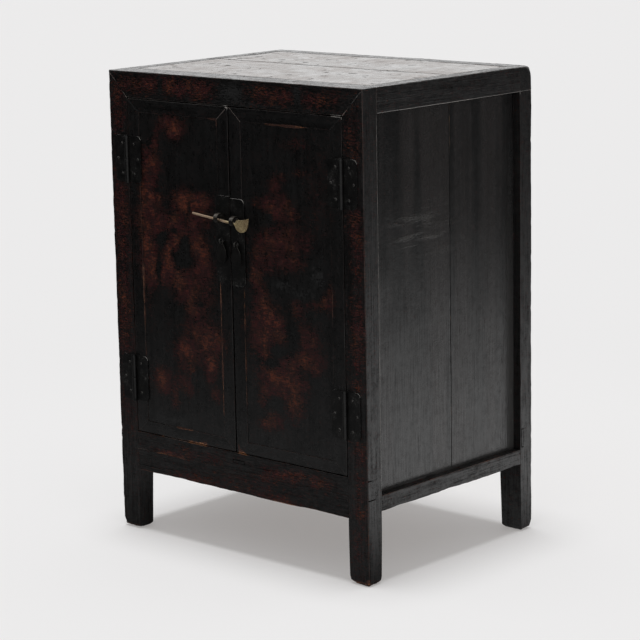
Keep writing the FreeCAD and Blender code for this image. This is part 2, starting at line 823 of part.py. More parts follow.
def lock_pin():
    tip, along = pin_line()
    right = lock_place("right")[2][0]
    shaft_long = (right + eye_strap_w / 2 + lock_head_clear - tip.x) / along.x
    shaft = Part.makeCylinder(lock_pin_r, shaft_long + lock_pin_r, Vector(0, 0, 0), Vector(1, 0, 0))
    tip_edge = [edge for edge in shaft.Edges if edge.BoundBox.XMax < lock_pin_r / 2]
    shaft = shaft.makeFillet(lock_pin_r / 2, tip_edge)
    pin = shaft.fuse(pin_head(shaft_long)).removeSplitter()
    turn = FreeCAD.Rotation(Vector(0, 0, 1), math.degrees(math.atan2(along.y, along.x)))
    tilt = FreeCAD.Rotation(Vector(0, 1, 0), math.degrees(-math.asin(along.z)))
    pin.Placement = FreeCAD.Placement(tip, turn.multiply(tilt))
    return pin


def save(name, solids):
    """One file for each sub-part; like pieces that share a file stay separate solids."""
    for solid in solids:
        if not solid.isValid() or len(solid.Solids) != 1:
            print("check", name, solid.isValid(), len(solid.Solids))
    solids = [solid.Solids[0] for solid in solids]
    shape = solids[0] if len(solids) == 1 else Part.makeCompound(solids)
    shape.exportStep(os.path.join("parts", name + ".step"))


for name, sign in sides.items():
    save("front_" + name + "_post", [front_post(sign)])
    save("rear_" + name + "_post", [rear_post(sign)])
    save("top_" + name + "_rail", [top_side_rail(sign)])
    save("bottom_" + name + "_rail", [bottom_side_rail(sign)])
    save(name + "_side_board_front", [side_board(sign, True)])
    save(name + "_side_board_rear", [side_board(sign, False)])
    save(name + "_side_batten", [side_bar(sign, batten_z)])
save("top_front_rail", [top_front_rail()])
save("top_rear_rail", [top_rear_rail()])
save("top_board_front", [top_board(True)])
save("top_board_rear", [top_board(False)])
save("top_batten", [top_batten()])
save("bottom_front_rail", [bottom_front_rail()])
save("front_apron", [front_apron()])
save("bottom_rear_rail", [bottom_rear_rail()])
for place, where in enumerate(("left", "middle", "right")):
    save("back_board_" + where, [back_board(place)])
save("back_batten", [back_batten()])
save("floor_board_front", [floor_board(True)])
save("floor_board_rear", [floor_board(False)])
save("floor_bearers", [side_bar(sign, bearer_z) for sign in (-1, 1)])
save("shelf_board", [shelf_board()])
save("hinge_pins", hinge_pins())
save("post_hinge_leaves", hinge_leaves("left", -1, False) + hinge_leaves("right", 1, False))
save("post_hinge_nails", hinge_nails("left", -1) + hinge_nails("right", 1))

for name, sign in sides.items():
    save(name + "_door_hinge_stile", [door_frame_piece(name, "hinge")])
    save(name + "_door_meeting_stile", [door_frame_piece(name, "meeting")])
    save(name + "_door_top_rail", [door_frame_piece(name, "top")])
    save(name + "_door_bottom_rail", [door_frame_piece(name, "bottom")])
    save(name + "_door_panel", [door_panel(name)])
    save(name + "_door_batten", [door_batten(name)])
    save(name + "_door_hinge_leaves", hinge_leaves(name, -sign, True))
    save(name + "_door_hinge_nails", hinge_nails(name, -sign))
    save(name + "_lock_plate", [lock_plate(name)])
    save(name + "_lock_eye", [lock_eye(name)])
    save(name + "_pull_eye", [pull_eye(name)])
    save(name + "_pull", [pull_leaf(name)])
save("lock_pin", [lock_pin()])
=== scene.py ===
import bmesh
import bpy
import math
import numpy as np
from mathutils import Matrix, Vector, noise


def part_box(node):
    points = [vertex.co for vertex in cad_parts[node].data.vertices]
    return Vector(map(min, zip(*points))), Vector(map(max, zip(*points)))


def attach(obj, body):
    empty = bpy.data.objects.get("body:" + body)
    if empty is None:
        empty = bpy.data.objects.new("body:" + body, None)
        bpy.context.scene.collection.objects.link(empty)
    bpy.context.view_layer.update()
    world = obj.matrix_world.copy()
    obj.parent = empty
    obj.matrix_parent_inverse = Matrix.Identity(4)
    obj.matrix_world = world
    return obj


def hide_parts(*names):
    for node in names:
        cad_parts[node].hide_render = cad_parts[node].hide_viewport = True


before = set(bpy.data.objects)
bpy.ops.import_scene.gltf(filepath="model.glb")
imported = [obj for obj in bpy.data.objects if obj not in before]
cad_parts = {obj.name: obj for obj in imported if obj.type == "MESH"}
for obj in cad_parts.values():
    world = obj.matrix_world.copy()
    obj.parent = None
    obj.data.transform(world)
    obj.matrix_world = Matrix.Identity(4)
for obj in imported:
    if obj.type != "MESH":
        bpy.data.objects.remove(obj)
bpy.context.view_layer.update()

MM = 0.001


# The room: a pale floor under a wide overhead light, seen from the right of the front and a little above.
# In the dark lacquer the floor shines behind and beside the cabinet, and hardly in front of its left side.
def fill_socket(tree, value, socket):
    """Sets a socket, or links it where the value comes from another node."""
    if isinstance(value, Shade):
        tree.links.new(value.socket, socket)
    else:
        socket.default_value = value


class Shade:
    """A value inside a material or the world. Sums written on it add Math nodes."""

    def __init__(self, tree, socket=None):
        self.tree = tree
        self.socket = socket

    def node(self, kind, settings=None, inputs=None, output=0):
        """Adds any node: its settings first, then the values or links of its sockets."""
        made = self.tree.nodes.new(kind)
        for key, value in (settings or {}).items():
            setattr(made, key, value)
        for key, value in (inputs or {}).items():
            fill_socket(self.tree, value, made.inputs[key])
        return Shade(self.tree, made.outputs[output] if made.outputs else None)

    def math(self, operation, first, second=0.0):
        return self.node("ShaderNodeMath", {"operation": operation}, {0: first, 1: second})

    def size(self):
        return self.math("ABSOLUTE", self)

    def __add__(self, other):
        return self.math("ADD", self, other)

    __radd__ = __add__

    def __sub__(self, other):
        return self.math("SUBTRACT", self, other)

    def __rsub__(self, other):
        return self.math("SUBTRACT", other, self)

    def __mul__(self, other):
        return self.math("MULTIPLY", self, other)

    __rmul__ = __mul__

    def __truediv__(self, other):
        return self.math("DIVIDE", self, other)

    def max(self, other):
        return self.math("MAXIMUM", self, other)

    def min(self, other):
        return self.math("MINIMUM", self, other)

    def step(self, low, high):
        """0 below low, 1 above high and smooth between; low may be the larger."""
        ends = (0.0, 1.0) if low < high else (1.0, 0.0)
        return self.node("ShaderNodeMapRange", {"interpolation_type": "SMOOTHSTEP"},
                         {0: self, 1: min(low, high), 2: max(low, high), 3: ends[0], 4: ends[1]})

    def mix(self, under, over):
        """Colour under where this value is 0, over where it is 1."""
        below, above = [tone if isinstance(tone, Shade) else (*tone, 1.0) for tone in (under, over)]
        return self.node("ShaderNodeMix", {"data_type": "RGBA"}, {0: self, 6: below, 7: above}, 2)

    def along(self, way):
        """How far this vector reaches along a way."""
        return self.node("ShaderNodeVectorMath", {"operation": "DOT_PRODUCT"}, {0: self, 1: way}, 1)

    def part(self, axis):
        """One of this vector's three parts."""
        return self.node("ShaderNodeSeparateXYZ", {}, {0: self}, axis)

    def stretch(self, scale):
        """This vector with its three parts scaled."""
        return self.node("ShaderNodeVectorMath", {"operation": "MULTIPLY"}, {0: self, 1: scale})

    def noise(self, scale, detail=3.0, rough=0.5):
        """Noise of this vector, about 0.5 with most of it between 0.3 and 0.7."""
        return self.node("ShaderNodeTexNoise", {}, {"Vector": self, "Scale": scale, "Detail": detail,
                                                    "Roughness": rough})


def blank_shader(owner):
    """The emptied node tree of a material or the world, to start its sums from."""
    owner.use_nodes = True
    owner.node_tree.nodes.clear()
    return Shade(owner.node_tree)


# The near tone is painted light: the floor is a little lighter around the cabinet, to cancel the shade the
# cabinet casts on it.
far_tone, near_tone_lightened, backdrop_tone = (0.822, 0.832, 0.842), (0.87, 0.88, 0.89), (0.83, 0.83, 0.83)
white, floor_glow = (1.0, 1.0, 1.0, 1.0), (0.868, 0.828, 0.808, 1.0)
floor_half_width = 40.0
floor_mesh = bpy.data.meshes.new("studio_floor")
bm = bmesh.new()
bmesh.ops.create_grid(bm, x_segments=1, y_segments=1, size=floor_half_width)
bm.to_mesh(floor_mesh)
bm.free()
studio_floor = bpy.data.objects.new("studio_floor", floor_mesh)
bpy.context.scene.collection.objects.link(studio_floor)

floor_paint = bpy.data.materials.new("studio_floor")
s = blank_shader(floor_paint)
where = s.node("ShaderNodeTexCoord", output=3)
away = s.node("ShaderNodeVectorMath", {"operation": "LENGTH"}, {0: where}, 1)
to_behind_right = (0.673, 0.740, 0.0)
bearing = where.along(to_behind_right) / (away + 0.05)
behind_right = bearing.step(0.25, 0.75)
front_left = bearing.step(-0.3, -0.8)
sheen_beside = 0.6 * (1 - behind_right) * (1 - front_left)
sheen_behind = behind_right * (0.11 + 1.2 * away.step(3.9, 0.5))
sheen_before = front_left * (0.2 * away.step(2.6, 0.2) + 0.05 * away.step(0.9, 0.4) + 0.004)
# Painted shadow: under the cabinet the sheen is cut to about a fifth, standing in for the shadow the cabinet
# casts there.
sheen = (sheen_beside + sheen_behind + sheen_before) * (0.22 + 0.78 * away.step(0.25, 0.75))
camera_ray = s.node("ShaderNodeLightPath", output=0)
glossy_ray = s.node("ShaderNodeLightPath", output=3)
# Painted light: the floor turns to its lighter tone closer than 1.7 m to the middle, fully within 0.3 m.
matt = s.node("ShaderNodeBsdfDiffuse", {}, {"Color": away.step(1.7, 0.3).mix(far_tone, near_tone_lightened)})
even = s.node("ShaderNodeEmission", {}, {"Color": floor_glow, "Strength": 1.0})
lit = s.node("ShaderNodeEmission", {}, {"Color": white, "Strength": sheen})
seen = s.node("ShaderNodeMixShader", {}, {0: 0.32 * camera_ray, 1: matt, 2: even})
surface = s.node("ShaderNodeMixShader", {}, {0: glossy_ray, 1: seen, 2: lit})
s.node("ShaderNodeOutputMaterial", {}, {0: surface})
floor_mesh.materials.append(floor_paint)

world = bpy.data.worlds.new("studio")
bpy.context.scene.world = world
s = blank_shader(world)
way = s.node("ShaderNodeTexCoord", output=0)
softbox = way.along((-0.55, 0.65, 0.52)).step(0.4, 0.85)
dark_left = way.along((-0.66, -0.73, -0.12)).step(0.66, 0.88)
dark_right = way.along((0.66, 0.73, 0.1)).step(0.72, 0.95)
shine = (0.8 + 0.66 * softbox) * (1 - 0.985 * dark_left) * (1 - 0.82 * dark_right)
camera_ray, glossy_ray, through_ray = [s.node("ShaderNodeLightPath", output=ray) for ray in (0, 3, 6)]
light = s.node("ShaderNodeBackground", {}, {"Color": white, "Strength": 0.4})
backdrop = s.node("ShaderNodeBackground", {}, {"Color": (*backdrop_tone, 1.0), "Strength": 1.0})
bright = s.node("ShaderNodeBackground", {}, {"Color": white, "Strength": shine})
seen = s.node("ShaderNodeMixShader", {}, {0: camera_ray.max(through_ray), 1: light, 2: backdrop})
surroundings = s.node("ShaderNodeMixShader", {}, {0: glossy_ray, 1: seen, 2: bright})
s.node("ShaderNodeOutputWorld", {}, {0: surroundings})

overhead = bpy.data.lights.new("overhead", "SUN")
overhead.energy = 1.89
overhead.angle = math.radians(17)
overhead_lamp = bpy.data.objects.new("overhead", overhead)
overhead_lamp.matrix_world = Vector((-0.03, 0.0, 1.0)).to_track_quat("Z", "Y").to_matrix().to_4x4()
overhead_lamp.visible_glossy = False
bpy.context.scene.collection.objects.link(overhead_lamp)

yaw, pitch, roll = 0.737856, 0.203472, -0.0186703
camera_place = (2.72365, -2.99263, 1.2094)
back = Vector((math.sin(yaw) * math.cos(pitch), -math.cos(yaw) * math.cos(pitch), math.sin(pitch)))
level = Vector((0, 0, 1)).cross(back).normalized()
upright = back.cross(level)
across = level * math.cos(roll) + upright * math.sin(roll)
upward = upright * math.cos(roll) - level * math.sin(roll)
lens = bpy.data.cameras.new("camera")
lens.lens = 133.8
lens.sensor_width = 36.0
camera = bpy.data.objects.new("camera", lens)
camera.matrix_world = Matrix.Translation(camera_place) @ Matrix((across, upward, back)).transposed().to_4x4()
bpy.context.scene.collection.objects.link(camera)
bpy.context.scene.camera = camera
bpy.context.scene.view_settings.view_transform = "Standard"


# The four posts: squared hardwood, 43 by 34 mm in front and 45 by 32 mm behind, that run down as legs.
# Black lacquer over a red-brown ground; a century of hands and brooms has rounded the arrises and the feet.
# In mm: the case's outer faces, and the inner faces of the posts and of the top's rails.
side_x, front_y, back_y, top_z = 289.0, -207.5, 228.5, 812.0
front_post_in_x, front_post_back_y = 246.0, -173.5
rear_post_in_x, rear_post_front_y = 244.0, 196.5
front_rail_under_z, side_rail_under_z = 767.0, 770.0
slant = 0.70710678
case = ((-side_x, side_x), (front_y, back_y), (None, top_z))
no_case = ((None, None), (None, None), (None, None))

# Where the black is rubbed through on the front: middle X and Z, half width, half height and depth.
rubbed_places = [
    # left door, upper half
    (-140, 729, 27, 12, 0.72), (-133, 716, 16, 11, 0.95), (-176, 710, 6, 14, 0.6), (-182, 690, 8, 13, 0.6),
    (-193, 657, 19, 22, 0.75), (-182, 645, 5, 4, 0.95), (-199, 627, 16, 18, 0.8), (-196, 601, 20, 15, 0.98),
    (-197, 575, 29, 12, 0.72), (-176, 552, 42, 15, 0.92), (-120, 597, 22, 19, 0.75), (-117, 601, 13, 12, 1.),
    (-77, 600, 23, 12, 0.85), (-95, 590, 10, 16, 0.75), (-80, 574, 23, 17, 0.62), (-94, 558, 11, 7, 0.8),
    (-125, 573, 18, 10, 0.5), (-207, 520, 12, 38, 0.8), (-195, 492, 23, 28, 0.8), (-158, 502, 8, 28, 0.95),
    (-170, 468, 8, 15, 0.95), (-137, 527, 9, 20, 0.88), (-118, 545, 11, 9, 0.8), (-90, 527, 22, 24, 0.72),
    (-75, 510, 13, 23, 0.8), (-148, 482, 9, 22, 0.75), (-120, 474, 28, 15, 0.68), (-80, 480, 27, 22, 0.66),
    (-197, 461, 19, 17, 0.7), (-60, 500, 10, 12, 0.4),
    # left door, lower half
    (-121, 459, 32, 15, 0.66), (-115, 437, 20, 17, 0.66), (-95, 415, 22, 19, 0.62), (-70, 440, 22, 18, 0.45),
    (-85, 385, 36, 17, 0.5), (-66, 366, 32, 22, 0.76), (-50, 362, 11, 8, 0.98), (-121, 341, 22, 17, 0.85),
    (-118, 341, 13, 12, 1.08), (-90, 346, 16, 22, 0.6), (-62, 325, 14, 22, 0.8), (-60, 320, 8, 11, 0.95),
    (-62, 300, 8, 8, 0.8), (-120, 310, 18, 9, 0.5), (-180, 281, 18, 17, 0.8), (-184, 286, 9, 10, 0.9),
    (-172, 265, 9, 7, 0.85), (-150, 262, 7, 18, 0.62), (-148, 258, 4, 5, 0.85), (-130, 286, 18, 15, 0.5),
    (-118, 275, 12, 11, 0.68), (-150, 244, 11, 9, 0.5), (-50, 272, 12, 11, 0.68), (-205, 430, 9, 40, 0.34),
    # right door
    (142, 714, 26, 10, 0.32), (150, 668, 14, 7, 0.41), (115, 656, 17, 8, 0.47), (95, 641, 14, 12, 0.54),
    (76, 612, 20, 10, 0.59), (95, 606, 20, 13, 0.68), (100, 591, 16, 9, 0.6), (120, 621, 16, 14, 0.5),
    (131, 596, 18, 12, 0.53), (110, 571, 36, 12, 0.53), (85, 551, 36, 12, 0.53), (121, 549, 34, 12, 0.58),
    (60, 530, 17, 17, 0.53), (100, 526, 32, 17, 0.53), (136, 520, 22, 12, 0.49), (161, 560, 18, 17, 0.38),
    (50, 490, 11, 22, 0.66), (80, 506, 22, 12, 0.45), (190, 630, 26, 60, 0.23), (176, 455, 20, 8, 0.52),
    (206, 463, 14, 12, 0.62), (214, 482, 7, 11, 0.5), (60, 450, 14, 22, 0.62), (141, 446, 13, 16, 0.62),
    (70, 416, 27, 24, 0.8), (90, 415, 16, 10, 0.88), (60, 386, 25, 22, 0.76), (100, 396, 18, 13, 0.7),
    (70, 361, 18, 13, 0.7), (165, 391, 22, 22, 0.62), (151, 411, 11, 9, 0.5), (166, 361, 27, 13, 0.76),
    (180, 345, 11, 7, 0.72), (121, 350, 22, 12, 0.7), (86, 326, 27, 13, 0.8), (121, 321, 27, 17, 0.76),
    (155, 318, 9, 7, 0.66), (75, 301, 20, 16, 0.7), (111, 301, 27, 13, 0.7), (60, 280, 9, 10, 0.6),
    (131, 276, 18, 17, 0.62), (145, 291, 12, 11, 0.5), (85, 251, 16, 10, 0.62), (66, 239, 14, 8, 0.68),
    (86, 241, 18, 7, 0.58),
    # top rail
    (-242, 792, 22, 12, 0.47), (-222, 788, 9, 12, 0.49), (-194, 793, 24, 11, 0.68), (-185, 795, 13, 7, 0.8),
    (-140, 793, 19, 12, 0.67), (-121, 788, 17, 10, 0.64), (-91, 796, 19, 10, 0.64), (-71, 788, 24, 12, 0.68),
    (-46, 794, 20, 10, 0.49), (35, 792, 14, 10, 0.4), (80, 790, 25, 11, 0.56), (121, 790, 21, 11, 0.61),
    (186, 788, 27, 11, 0.57), (221, 795, 18, 9, 0.36), (-266, 775, 12, 14, 0.45),
    # posts, sill and apron
    (-269, 740, 16, 30, 0.45), (-269, 580, 17, 55, 0.55), (-269, 500, 16, 40, 0.45),
    (-270, 425, 15, 36, 0.55), (-269, 385, 15, 22, 0.59), (-270, 335, 15, 20, 0.55),
    (-272, 235, 13, 24, 0.41), (-265, 200, 18, 30, 0.25),
    (266, 735, 13, 32, 0.4), (272, 590, 11, 32, 0.58), (275, 552, 11, 13, 0.5), (274, 518, 11, 18, 0.4),
    (274, 452, 12, 26, 0.58), (275, 425, 12, 10, 0.64), (274, 399, 13, 13, 0.53), (270, 375, 9, 16, 0.5),
    (270, 335, 11, 9, 0.5), (274, 225, 12, 20, 0.53), (274, 165, 12, 30, 0.42), (274, 118, 11, 14, 0.52),
    (268, 60, 12, 40, 0.35), (84, 156, 18, 7, 0.66), (120, 158, 19, 8, 0.76), (141, 163, 9, 5, 0.8),
    (172, 160, 10, 8, 0.8), (200, 158, 12, 7, 0.55), (65, 148, 14, 5, 0.68), (-122, 157, 24, 8, 0.45),
    (-60, 160, 26, 8, 0.35), (-166, 151, 28, 3, 0.9), (-110, 115, 60, 6, 0.6), (60, 114, 60, 5, 0.6),
    (100, 113, 14, 5, 0.95), (20, 130, 80, 9, 0.34),
]
# Where it has stayed within or beside those places, with one painted shadow among them, and where it has only
# gone grey.
unworn_and_shadow_places = [
    (-172, 530, 8, 9, 1.0), (-140, 546, 10, 4, 0.8), (-122, 500, 17, 15, 1.1), (-112, 530, 7, 11, 0.9),
    (-162, 540, 6, 11, 0.5), (-180, 479, 6, 21, 0.85), (-180, 612, 11, 3, 0.7), (-104, 590, 3, 10, 0.5),
    # The first place on this line, just right of the pin's head, is a painted shadow of the head, not unworn
    # lacquer.
    (60, 586, 32, 8, 0.8), (92, 366, 18, 7, 0.75), (80, 346, 10, 7, 0.7), (135, 640, 14, 16, 0.4),
    (-165, 790, 4, 14, 0.8), (150, 790, 5, 20, 0.8), (-100, 590, 3, 12, 0.5), (130, 395, 10, 18, 0.5),
    (88, 282, 14, 9, 0.5), (-86, 425, 8, 6, 0.5), (-135, 405, 12, 8, 0.5),
]
greyed_places = [
    (2, 790, 30, 15, 1.0), (188, 500, 17, 20, 0.75), (110, 479, 22, 10, 0.75), (-155, 212, 46, 8, 0.7),
    (150, 470, 40, 14, 0.5),
]

# Arrises worn down to the wood: X and Z ranges on the front and how hard. The rest are only dulled.
worn_arrises = [
    (-36, -24, 238, 478, 1.0), (-222, -208, 385, 480, 1.0), (-222, -208, 320, 385, 0.5),
    (19, 29, 265, 460, 0.55),
    (78, 168, 738, 748, 1.2), (-118, -74, 178, 186, 3.0), (0, 20, 178, 194, 2.6), (-198, -133, 144, 156, 1.3),
    (-190, -118, 174, 182, 0.6), (-148, -108, 198, 207, 0.7), (78, 128, 106, 116, 2.2),
    (-240, 246, 104, 113, 0.7),
    (284, 291, 20, 812, 0.3), (-291, -284, 20, 812, 0.4), (-40, 260, 806, 814, 0.3), (-291, -240, 0, 12, 2.4),
    (240, 291, 0, 12, 2.4), (-50, -28, 733, 745, 0.6), (214, 222, 440, 485, 0.4),
]

# Arrises painted pale, partly rubbed without being worn through and partly a painted highlight where they
# catch the light:
# # X and Z ranges on the front, Y and Z ranges on the sides.
pale_and_lit_front = [
    (-245, -4, 764, 768, 0.34), (-12, -4, 762, 768, 1.5), (10, 245, 764, 768, 0.22),
    (224, 245, 762, 768, 1.2), (-250, -225, 144, 150, 0.4), (-180, -120, 176, 182, 0.35),
    (-289, 289, 810, 813, 0.25),
]
pale_and_lit_side = [
    (-173, 196, 768, 772, 0.95), (-176, -171, 160, 768, 0.9), (-173, 196, 146, 150, 0.4),
    (192, 229, 766, 774, 0.9),
]


def rubbed_at(x, z):
    """How far the lacquer is rubbed on the front at a place, before its ragged edge."""
    wear = 0.0
    for px, pz, half_x, half_z, depth in rubbed_places:
        far = ((x - px) / half_x) ** 2 + ((z - pz) / half_z) ** 2
        if far < 6:
            near = depth * math.exp(-0.55 * far)
            wear = max(wear, near) + 0.22 * min(wear, near)
    for px, pz, half_x, half_z, depth in unworn_and_shadow_places:
        far = ((x - px) / half_x) ** 2 + ((z - pz) / half_z) ** 2
        if far < 6:
            wear -= depth * math.exp(-0.8 * far)
    return wear


def greyed_at(x, z):
    """How grey the lacquer has gone on the front at a place."""
    return max(depth * math.exp(-((x - px) / half_x) ** 2 - ((z - pz) / half_z) ** 2)
               for px, pz, half_x, half_z, depth in greyed_places)


def arris_at(places, along, z, usual=0.0):
    """How hard the arrises are worn at a place, from a table of ranges, and as usual outside them."""
    return max([usual] + [hard for low, high, z_low, z_high, hard in places
                          if low <= along <= high and z_low <= z <= z_high])


def wear_at(point, rub):
    """How rubbed, handled, pale and greyed the lacquer is at a point; rub is the arrises' usual wear."""
    x, y, z = point
    on_front, on_side, at_sole = y < front_y + 2.5, abs(x) > side_x - 0.1, z < 6.0
    greyed = greyed_at(x, z) if on_front else 0.0
    rubbed = rubbed_at(x, z) - 0.7 * greyed if on_front else 0.0
    handled = (arris_at(worn_arrises, x, z, rub) if on_front else rub) + 3.2 * at_sole
    pale = arris_at(pale_and_lit_front, x, z) if on_front else arris_at(pale_and_lit_side, y, z) if on_side else 0.0
    return rubbed, handled, pale, greyed


def cut_across(bm, point, normal):
    bmesh.ops.bisect_plane(bm, geom=bm.verts[:] + bm.edges[:] + bm.faces[:], dist=1e-7,
                           plane_co=Vector(point) * MM, plane_no=normal)


# In mm: the rows of points cut beside each arris, seam and mark and above the sole, how near a face a point
# lies on it, how deep a seam is sunk, and half the joint between two boards.
arris_rows, seam_rows, mark_rows = (0.45, 1.1, 2.2, 4.4), (0.9, 2.6), (-1.3, 0.0, 1.3)
sole_rows = {3.3, 5.6, 7.0, 8.6, 10.5, 13.0, 16.0}
on_face, seam_depth, half_joint = 0.05, 0.16, 0.3


def depths(points, faces):
    """How deep each point lies under the nearer of each axis's two faces, in mm."""
    found = np.full(points.shape, 1e3)
    for axis, pair in enumerate(faces):
        for face, way in zip(pair, (1, -1)):
            if face is not None:
                found[:, axis] = np.minimum(found[:, axis], way * (points[:, axis] - face))
    return found


def worn_round(points, faces, radius):
    """Rounds the arrises between the given faces to a radius, in mm, that varies from point to point.
    Points past a face belong to a tongue or tenon and stay."""
    deep = depths(points, faces)
    over = np.maximum(radius[:, None] - deep, 0.0) * (deep.min(1) > -on_face)[:, None]
    length = np.linalg.norm(over, axis=1)
    share = np.where(length > radius, radius / np.maximum(length, 1e-9), 1.0)
    moved = radius[:, None] - over * share[:, None]
    for axis, pair in enumerate(faces):
        change = np.where(over[:, axis] > 0, moved[:, axis] - deep[:, axis], 0.0)
        if None in pair:
            way = -1.0 if pair[0] is None else 1.0
        else:
            way = np.where(points[:, axis] < sum(pair) / 2, 1.0, -1.0)
        points[:, axis] += way * change


def model_solid(node, name):
    """The model's own solid as a mesh, and its skin merged in a bmesh to be worked."""
    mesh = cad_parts[node].data.copy()
    mesh.name = name
    mesh.materials.clear()
    bm = bmesh.new()
    bm.from_mesh(mesh)
    bmesh.ops.remove_doubles(bm, verts=bm.verts[:], dist=2e-6)
    bmesh.ops.dissolve_limit(bm, angle_limit=0.01, verts=bm.verts[:], edges=bm.edges[:])
    return mesh, bm


def cut_rows(bm, low, high, faces, cell, seams, marks):
    """Cuts rows of points: close together beside arrises, seams and marks, and a cell apart between them."""
    for axis, (low_face, high_face) in enumerate(faces):
        places = {face + way * row for face, way in ((low_face, 1), (high_face, -1)) if face is not None
                  for row in arris_rows}
        if axis == 2 and low[2] < 1:
            places |= sole_rows
        start = low[axis] if low_face is None else low_face + arris_rows[-1]
        end = high[axis] if high_face is None else high_face - arris_rows[-1]
        count = max(1, round((end - start) / cell))
        places |= {start + (end - start) * place / count for place in range(1, count)}
        places |= {line + row for mark in marks for line in mark[axis] or () for row in mark_rows}
        normal = Vector((axis == 0, axis == 1, axis == 2))
        for place in sorted(places):
            if low[axis] + on_face < place < high[axis] - on_face:
                cut_across(bm, normal * place, normal)
    for point, normal, _ in seams:
        for row in seam_rows:
            cut_across(bm, Vector(point) + Vector(normal) * row, normal)


def line_values(points, faces, outer, seams, marks):
    """How far each point is from an arris and from a seam, in mm, how light that seam is, and 1 on a mark."""
    deep, deep_case = depths(points, faces), depths(points, outer)
    surface = np.minimum(deep.min(1), deep_case.min(1)) < on_face
    edge = np.minimum(np.sort(deep, axis=1)[:, 1], np.sort(deep_case, axis=1)[:, 1])
    edge = np.where(surface, edge, 50.0)
    seam, light_seam = np.full(len(points), 20.0), np.zeros(len(points))
    for point, normal, light in seams:
        far = np.abs((points - np.array(point)) @ np.array(normal))
        light_seam = np.where(far < seam, light, light_seam)
        seam = np.minimum(seam, far)
    mark = np.zeros(len(points))
    for box in marks:
        outside = [np.abs(points[:, axis] - sum(pair) / 2) - (pair[1] - pair[0]) / 2
                   for axis, pair in enumerate(box) if pair]
        mark = np.where(surface & (np.abs(np.max(outside, axis=0)) < on_face), 1.0, mark)
    return {"edge": edge, "seam": seam, "light_seam": light_seam, "mark": mark}


def sink_seams(points, faces, seam):
    """Sinks the line of each joint a little into the faces that it crosses."""
    sunk = np.where(seam < 0.02, seam_depth, 0.0)
    for axis, pair in enumerate(faces):
        for face, way in zip(pair, (1, -1)):
            if face is not None:
                here = np.abs(points[:, axis] - face) < on_face
                points[here, axis] += way * sunk[here]


def ragged_wear(points, edge):
    """How much more or less than usual the arrises are worn at each point, with a chip here and there."""
    ragged = np.ones(len(points))
    for i in np.nonzero(edge < 9.0)[0]:
        point = Vector(points[i])
        chip = max(0.0, noise.noise(point * 0.11 + Vector((31, 7, 3))) - 0.26)
        ragged[i] = 0.95 + 0.75 * noise.noise(point * 0.028) + 0.35 * noise.noise(point * 0.17) + 3.6 * chip
    return np.maximum(ragged, 0.3)


def hollow_faces(points, start, faces, uneven):
    """Lets the faces wander inwards from flat, by uneven mm or a little more."""
    deep = depths(start, faces)
    for i in np.nonzero(np.abs(deep.min(1)) < on_face)[0]:
        axis = int(np.argmin(deep[i]))
        low_face = faces[axis][0]
        way = 1 if low_face is not None and abs(start[i, axis] - low_face) < on_face else -1
        hollow = 0.5 + noise.noise(Vector(start[i]) * 0.012 + Vector((axis * 9.0, 0, 0)))
        points[i, axis] += way * uneven * max(0.0, hollow)


def write_values(bm, values, grain):
    """Writes each value, and the place along and across the grain, on the points for the finishes to read."""
    layers = {name: bm.verts.layers.float.new(name) for name in values}
    grain_layer = bm.verts.layers.float_vector.new("grain")
    for i, v in enumerate(bm.verts):
        for name, layer in layers.items():
            v[layer] = float(values[name][i])
        v[grain_layer] = grain[i]


def fit_piece(mesh, bm, node, body, finishes, sharp_degrees):
    """Puts the worked piece in the model's place, in its finishes, and lets it move with its body."""
    bm.to_mesh(mesh)
    bm.free()
    mesh.polygons.foreach_set("use_smooth", [True] * len(mesh.polygons))
    mesh.set_sharp_from_angle(angle=math.radians(sharp_degrees))
    for finish in finishes:
        mesh.materials.append(finish)
    piece = bpy.data.objects.new(mesh.name, mesh)
    bpy.context.scene.collection.objects.link(piece)
    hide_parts(node)
    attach(piece, body)


def timber(node, body, along, faces, finish, cell=9.0, round_mm=0.9, case_round=2.2, seams=(), marks=(),
           raw=None, shape=None, rub=0.12, uneven=0.25, outer=case, meets=()):
    """One piece of wood made from the model's own solid. faces are its sides in mm, None where an end is
    hidden. Their arrises are worn round, the faces wander a little from flat, and the grain runs along one
    axis. seams are joints with its neighbours: a point, the way into the piece and how light the line is.
    marks are the outlines of tenons and plugs, raw tells the faces never lacquered, and meets names the
    edges, by axis and place, that touch the next board behind their worn arrises."""
    mesh, bm = model_solid(node, node + "_wood")
    low, high = [np.array(corner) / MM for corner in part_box(node)]
    cut_rows(bm, low, high, faces, cell, seams, marks)
    start = np.array([v.co for v in bm.verts]) / MM
    points = start.copy()
    values = line_values(start, faces, outer, seams, marks)
    sink_seams(points, faces, values["seam"])
    ragged = ragged_wear(start, values["edge"])
    for sides, radius in ((outer, case_round), (faces, round_mm)):
        worn_round(points, sides, (radius(start) if callable(radius) else radius) * ragged)
    if shape:
        shape(points, start)
    hollow_faces(points, start, faces, uneven)
    for axis, face in meets:
        behind = (np.abs(start[:, axis] - face) < on_face) & (values["edge"] > 1.5)
        points[behind, axis] = face + (half_joint if face > start[:, axis].mean() else -half_joint)
    for v, point in zip(bm.verts, points):
        v.co = Vector(point) * MM
    wear = zip(*[wear_at(point, rub) for point in start])
    values.update(zip(("rubbed", "handled", "pale", "greyed"), wear))
    # Each piece is cut from its own place in the log, which its name gives.
    log = sum(ord(letter) for letter in node) * 0.37
    place_in_log = np.array((log % 1.0, log % 3.1, log % 2.3))
    write_values(bm, values, start[:, (along, (along + 1) % 3, (along + 2) % 3)] * MM + place_in_log)
    bmesh.ops.dissolve_degenerate(bm, dist=2e-6, edges=bm.edges[:])
    if raw:
        for face in bm.faces:
            face.material_index = int(raw(face.normal, face.calc_center_median() / MM))
    fit_piece(mesh, bm, node, body, (finish, bare_wood) if raw else (finish,), 38)


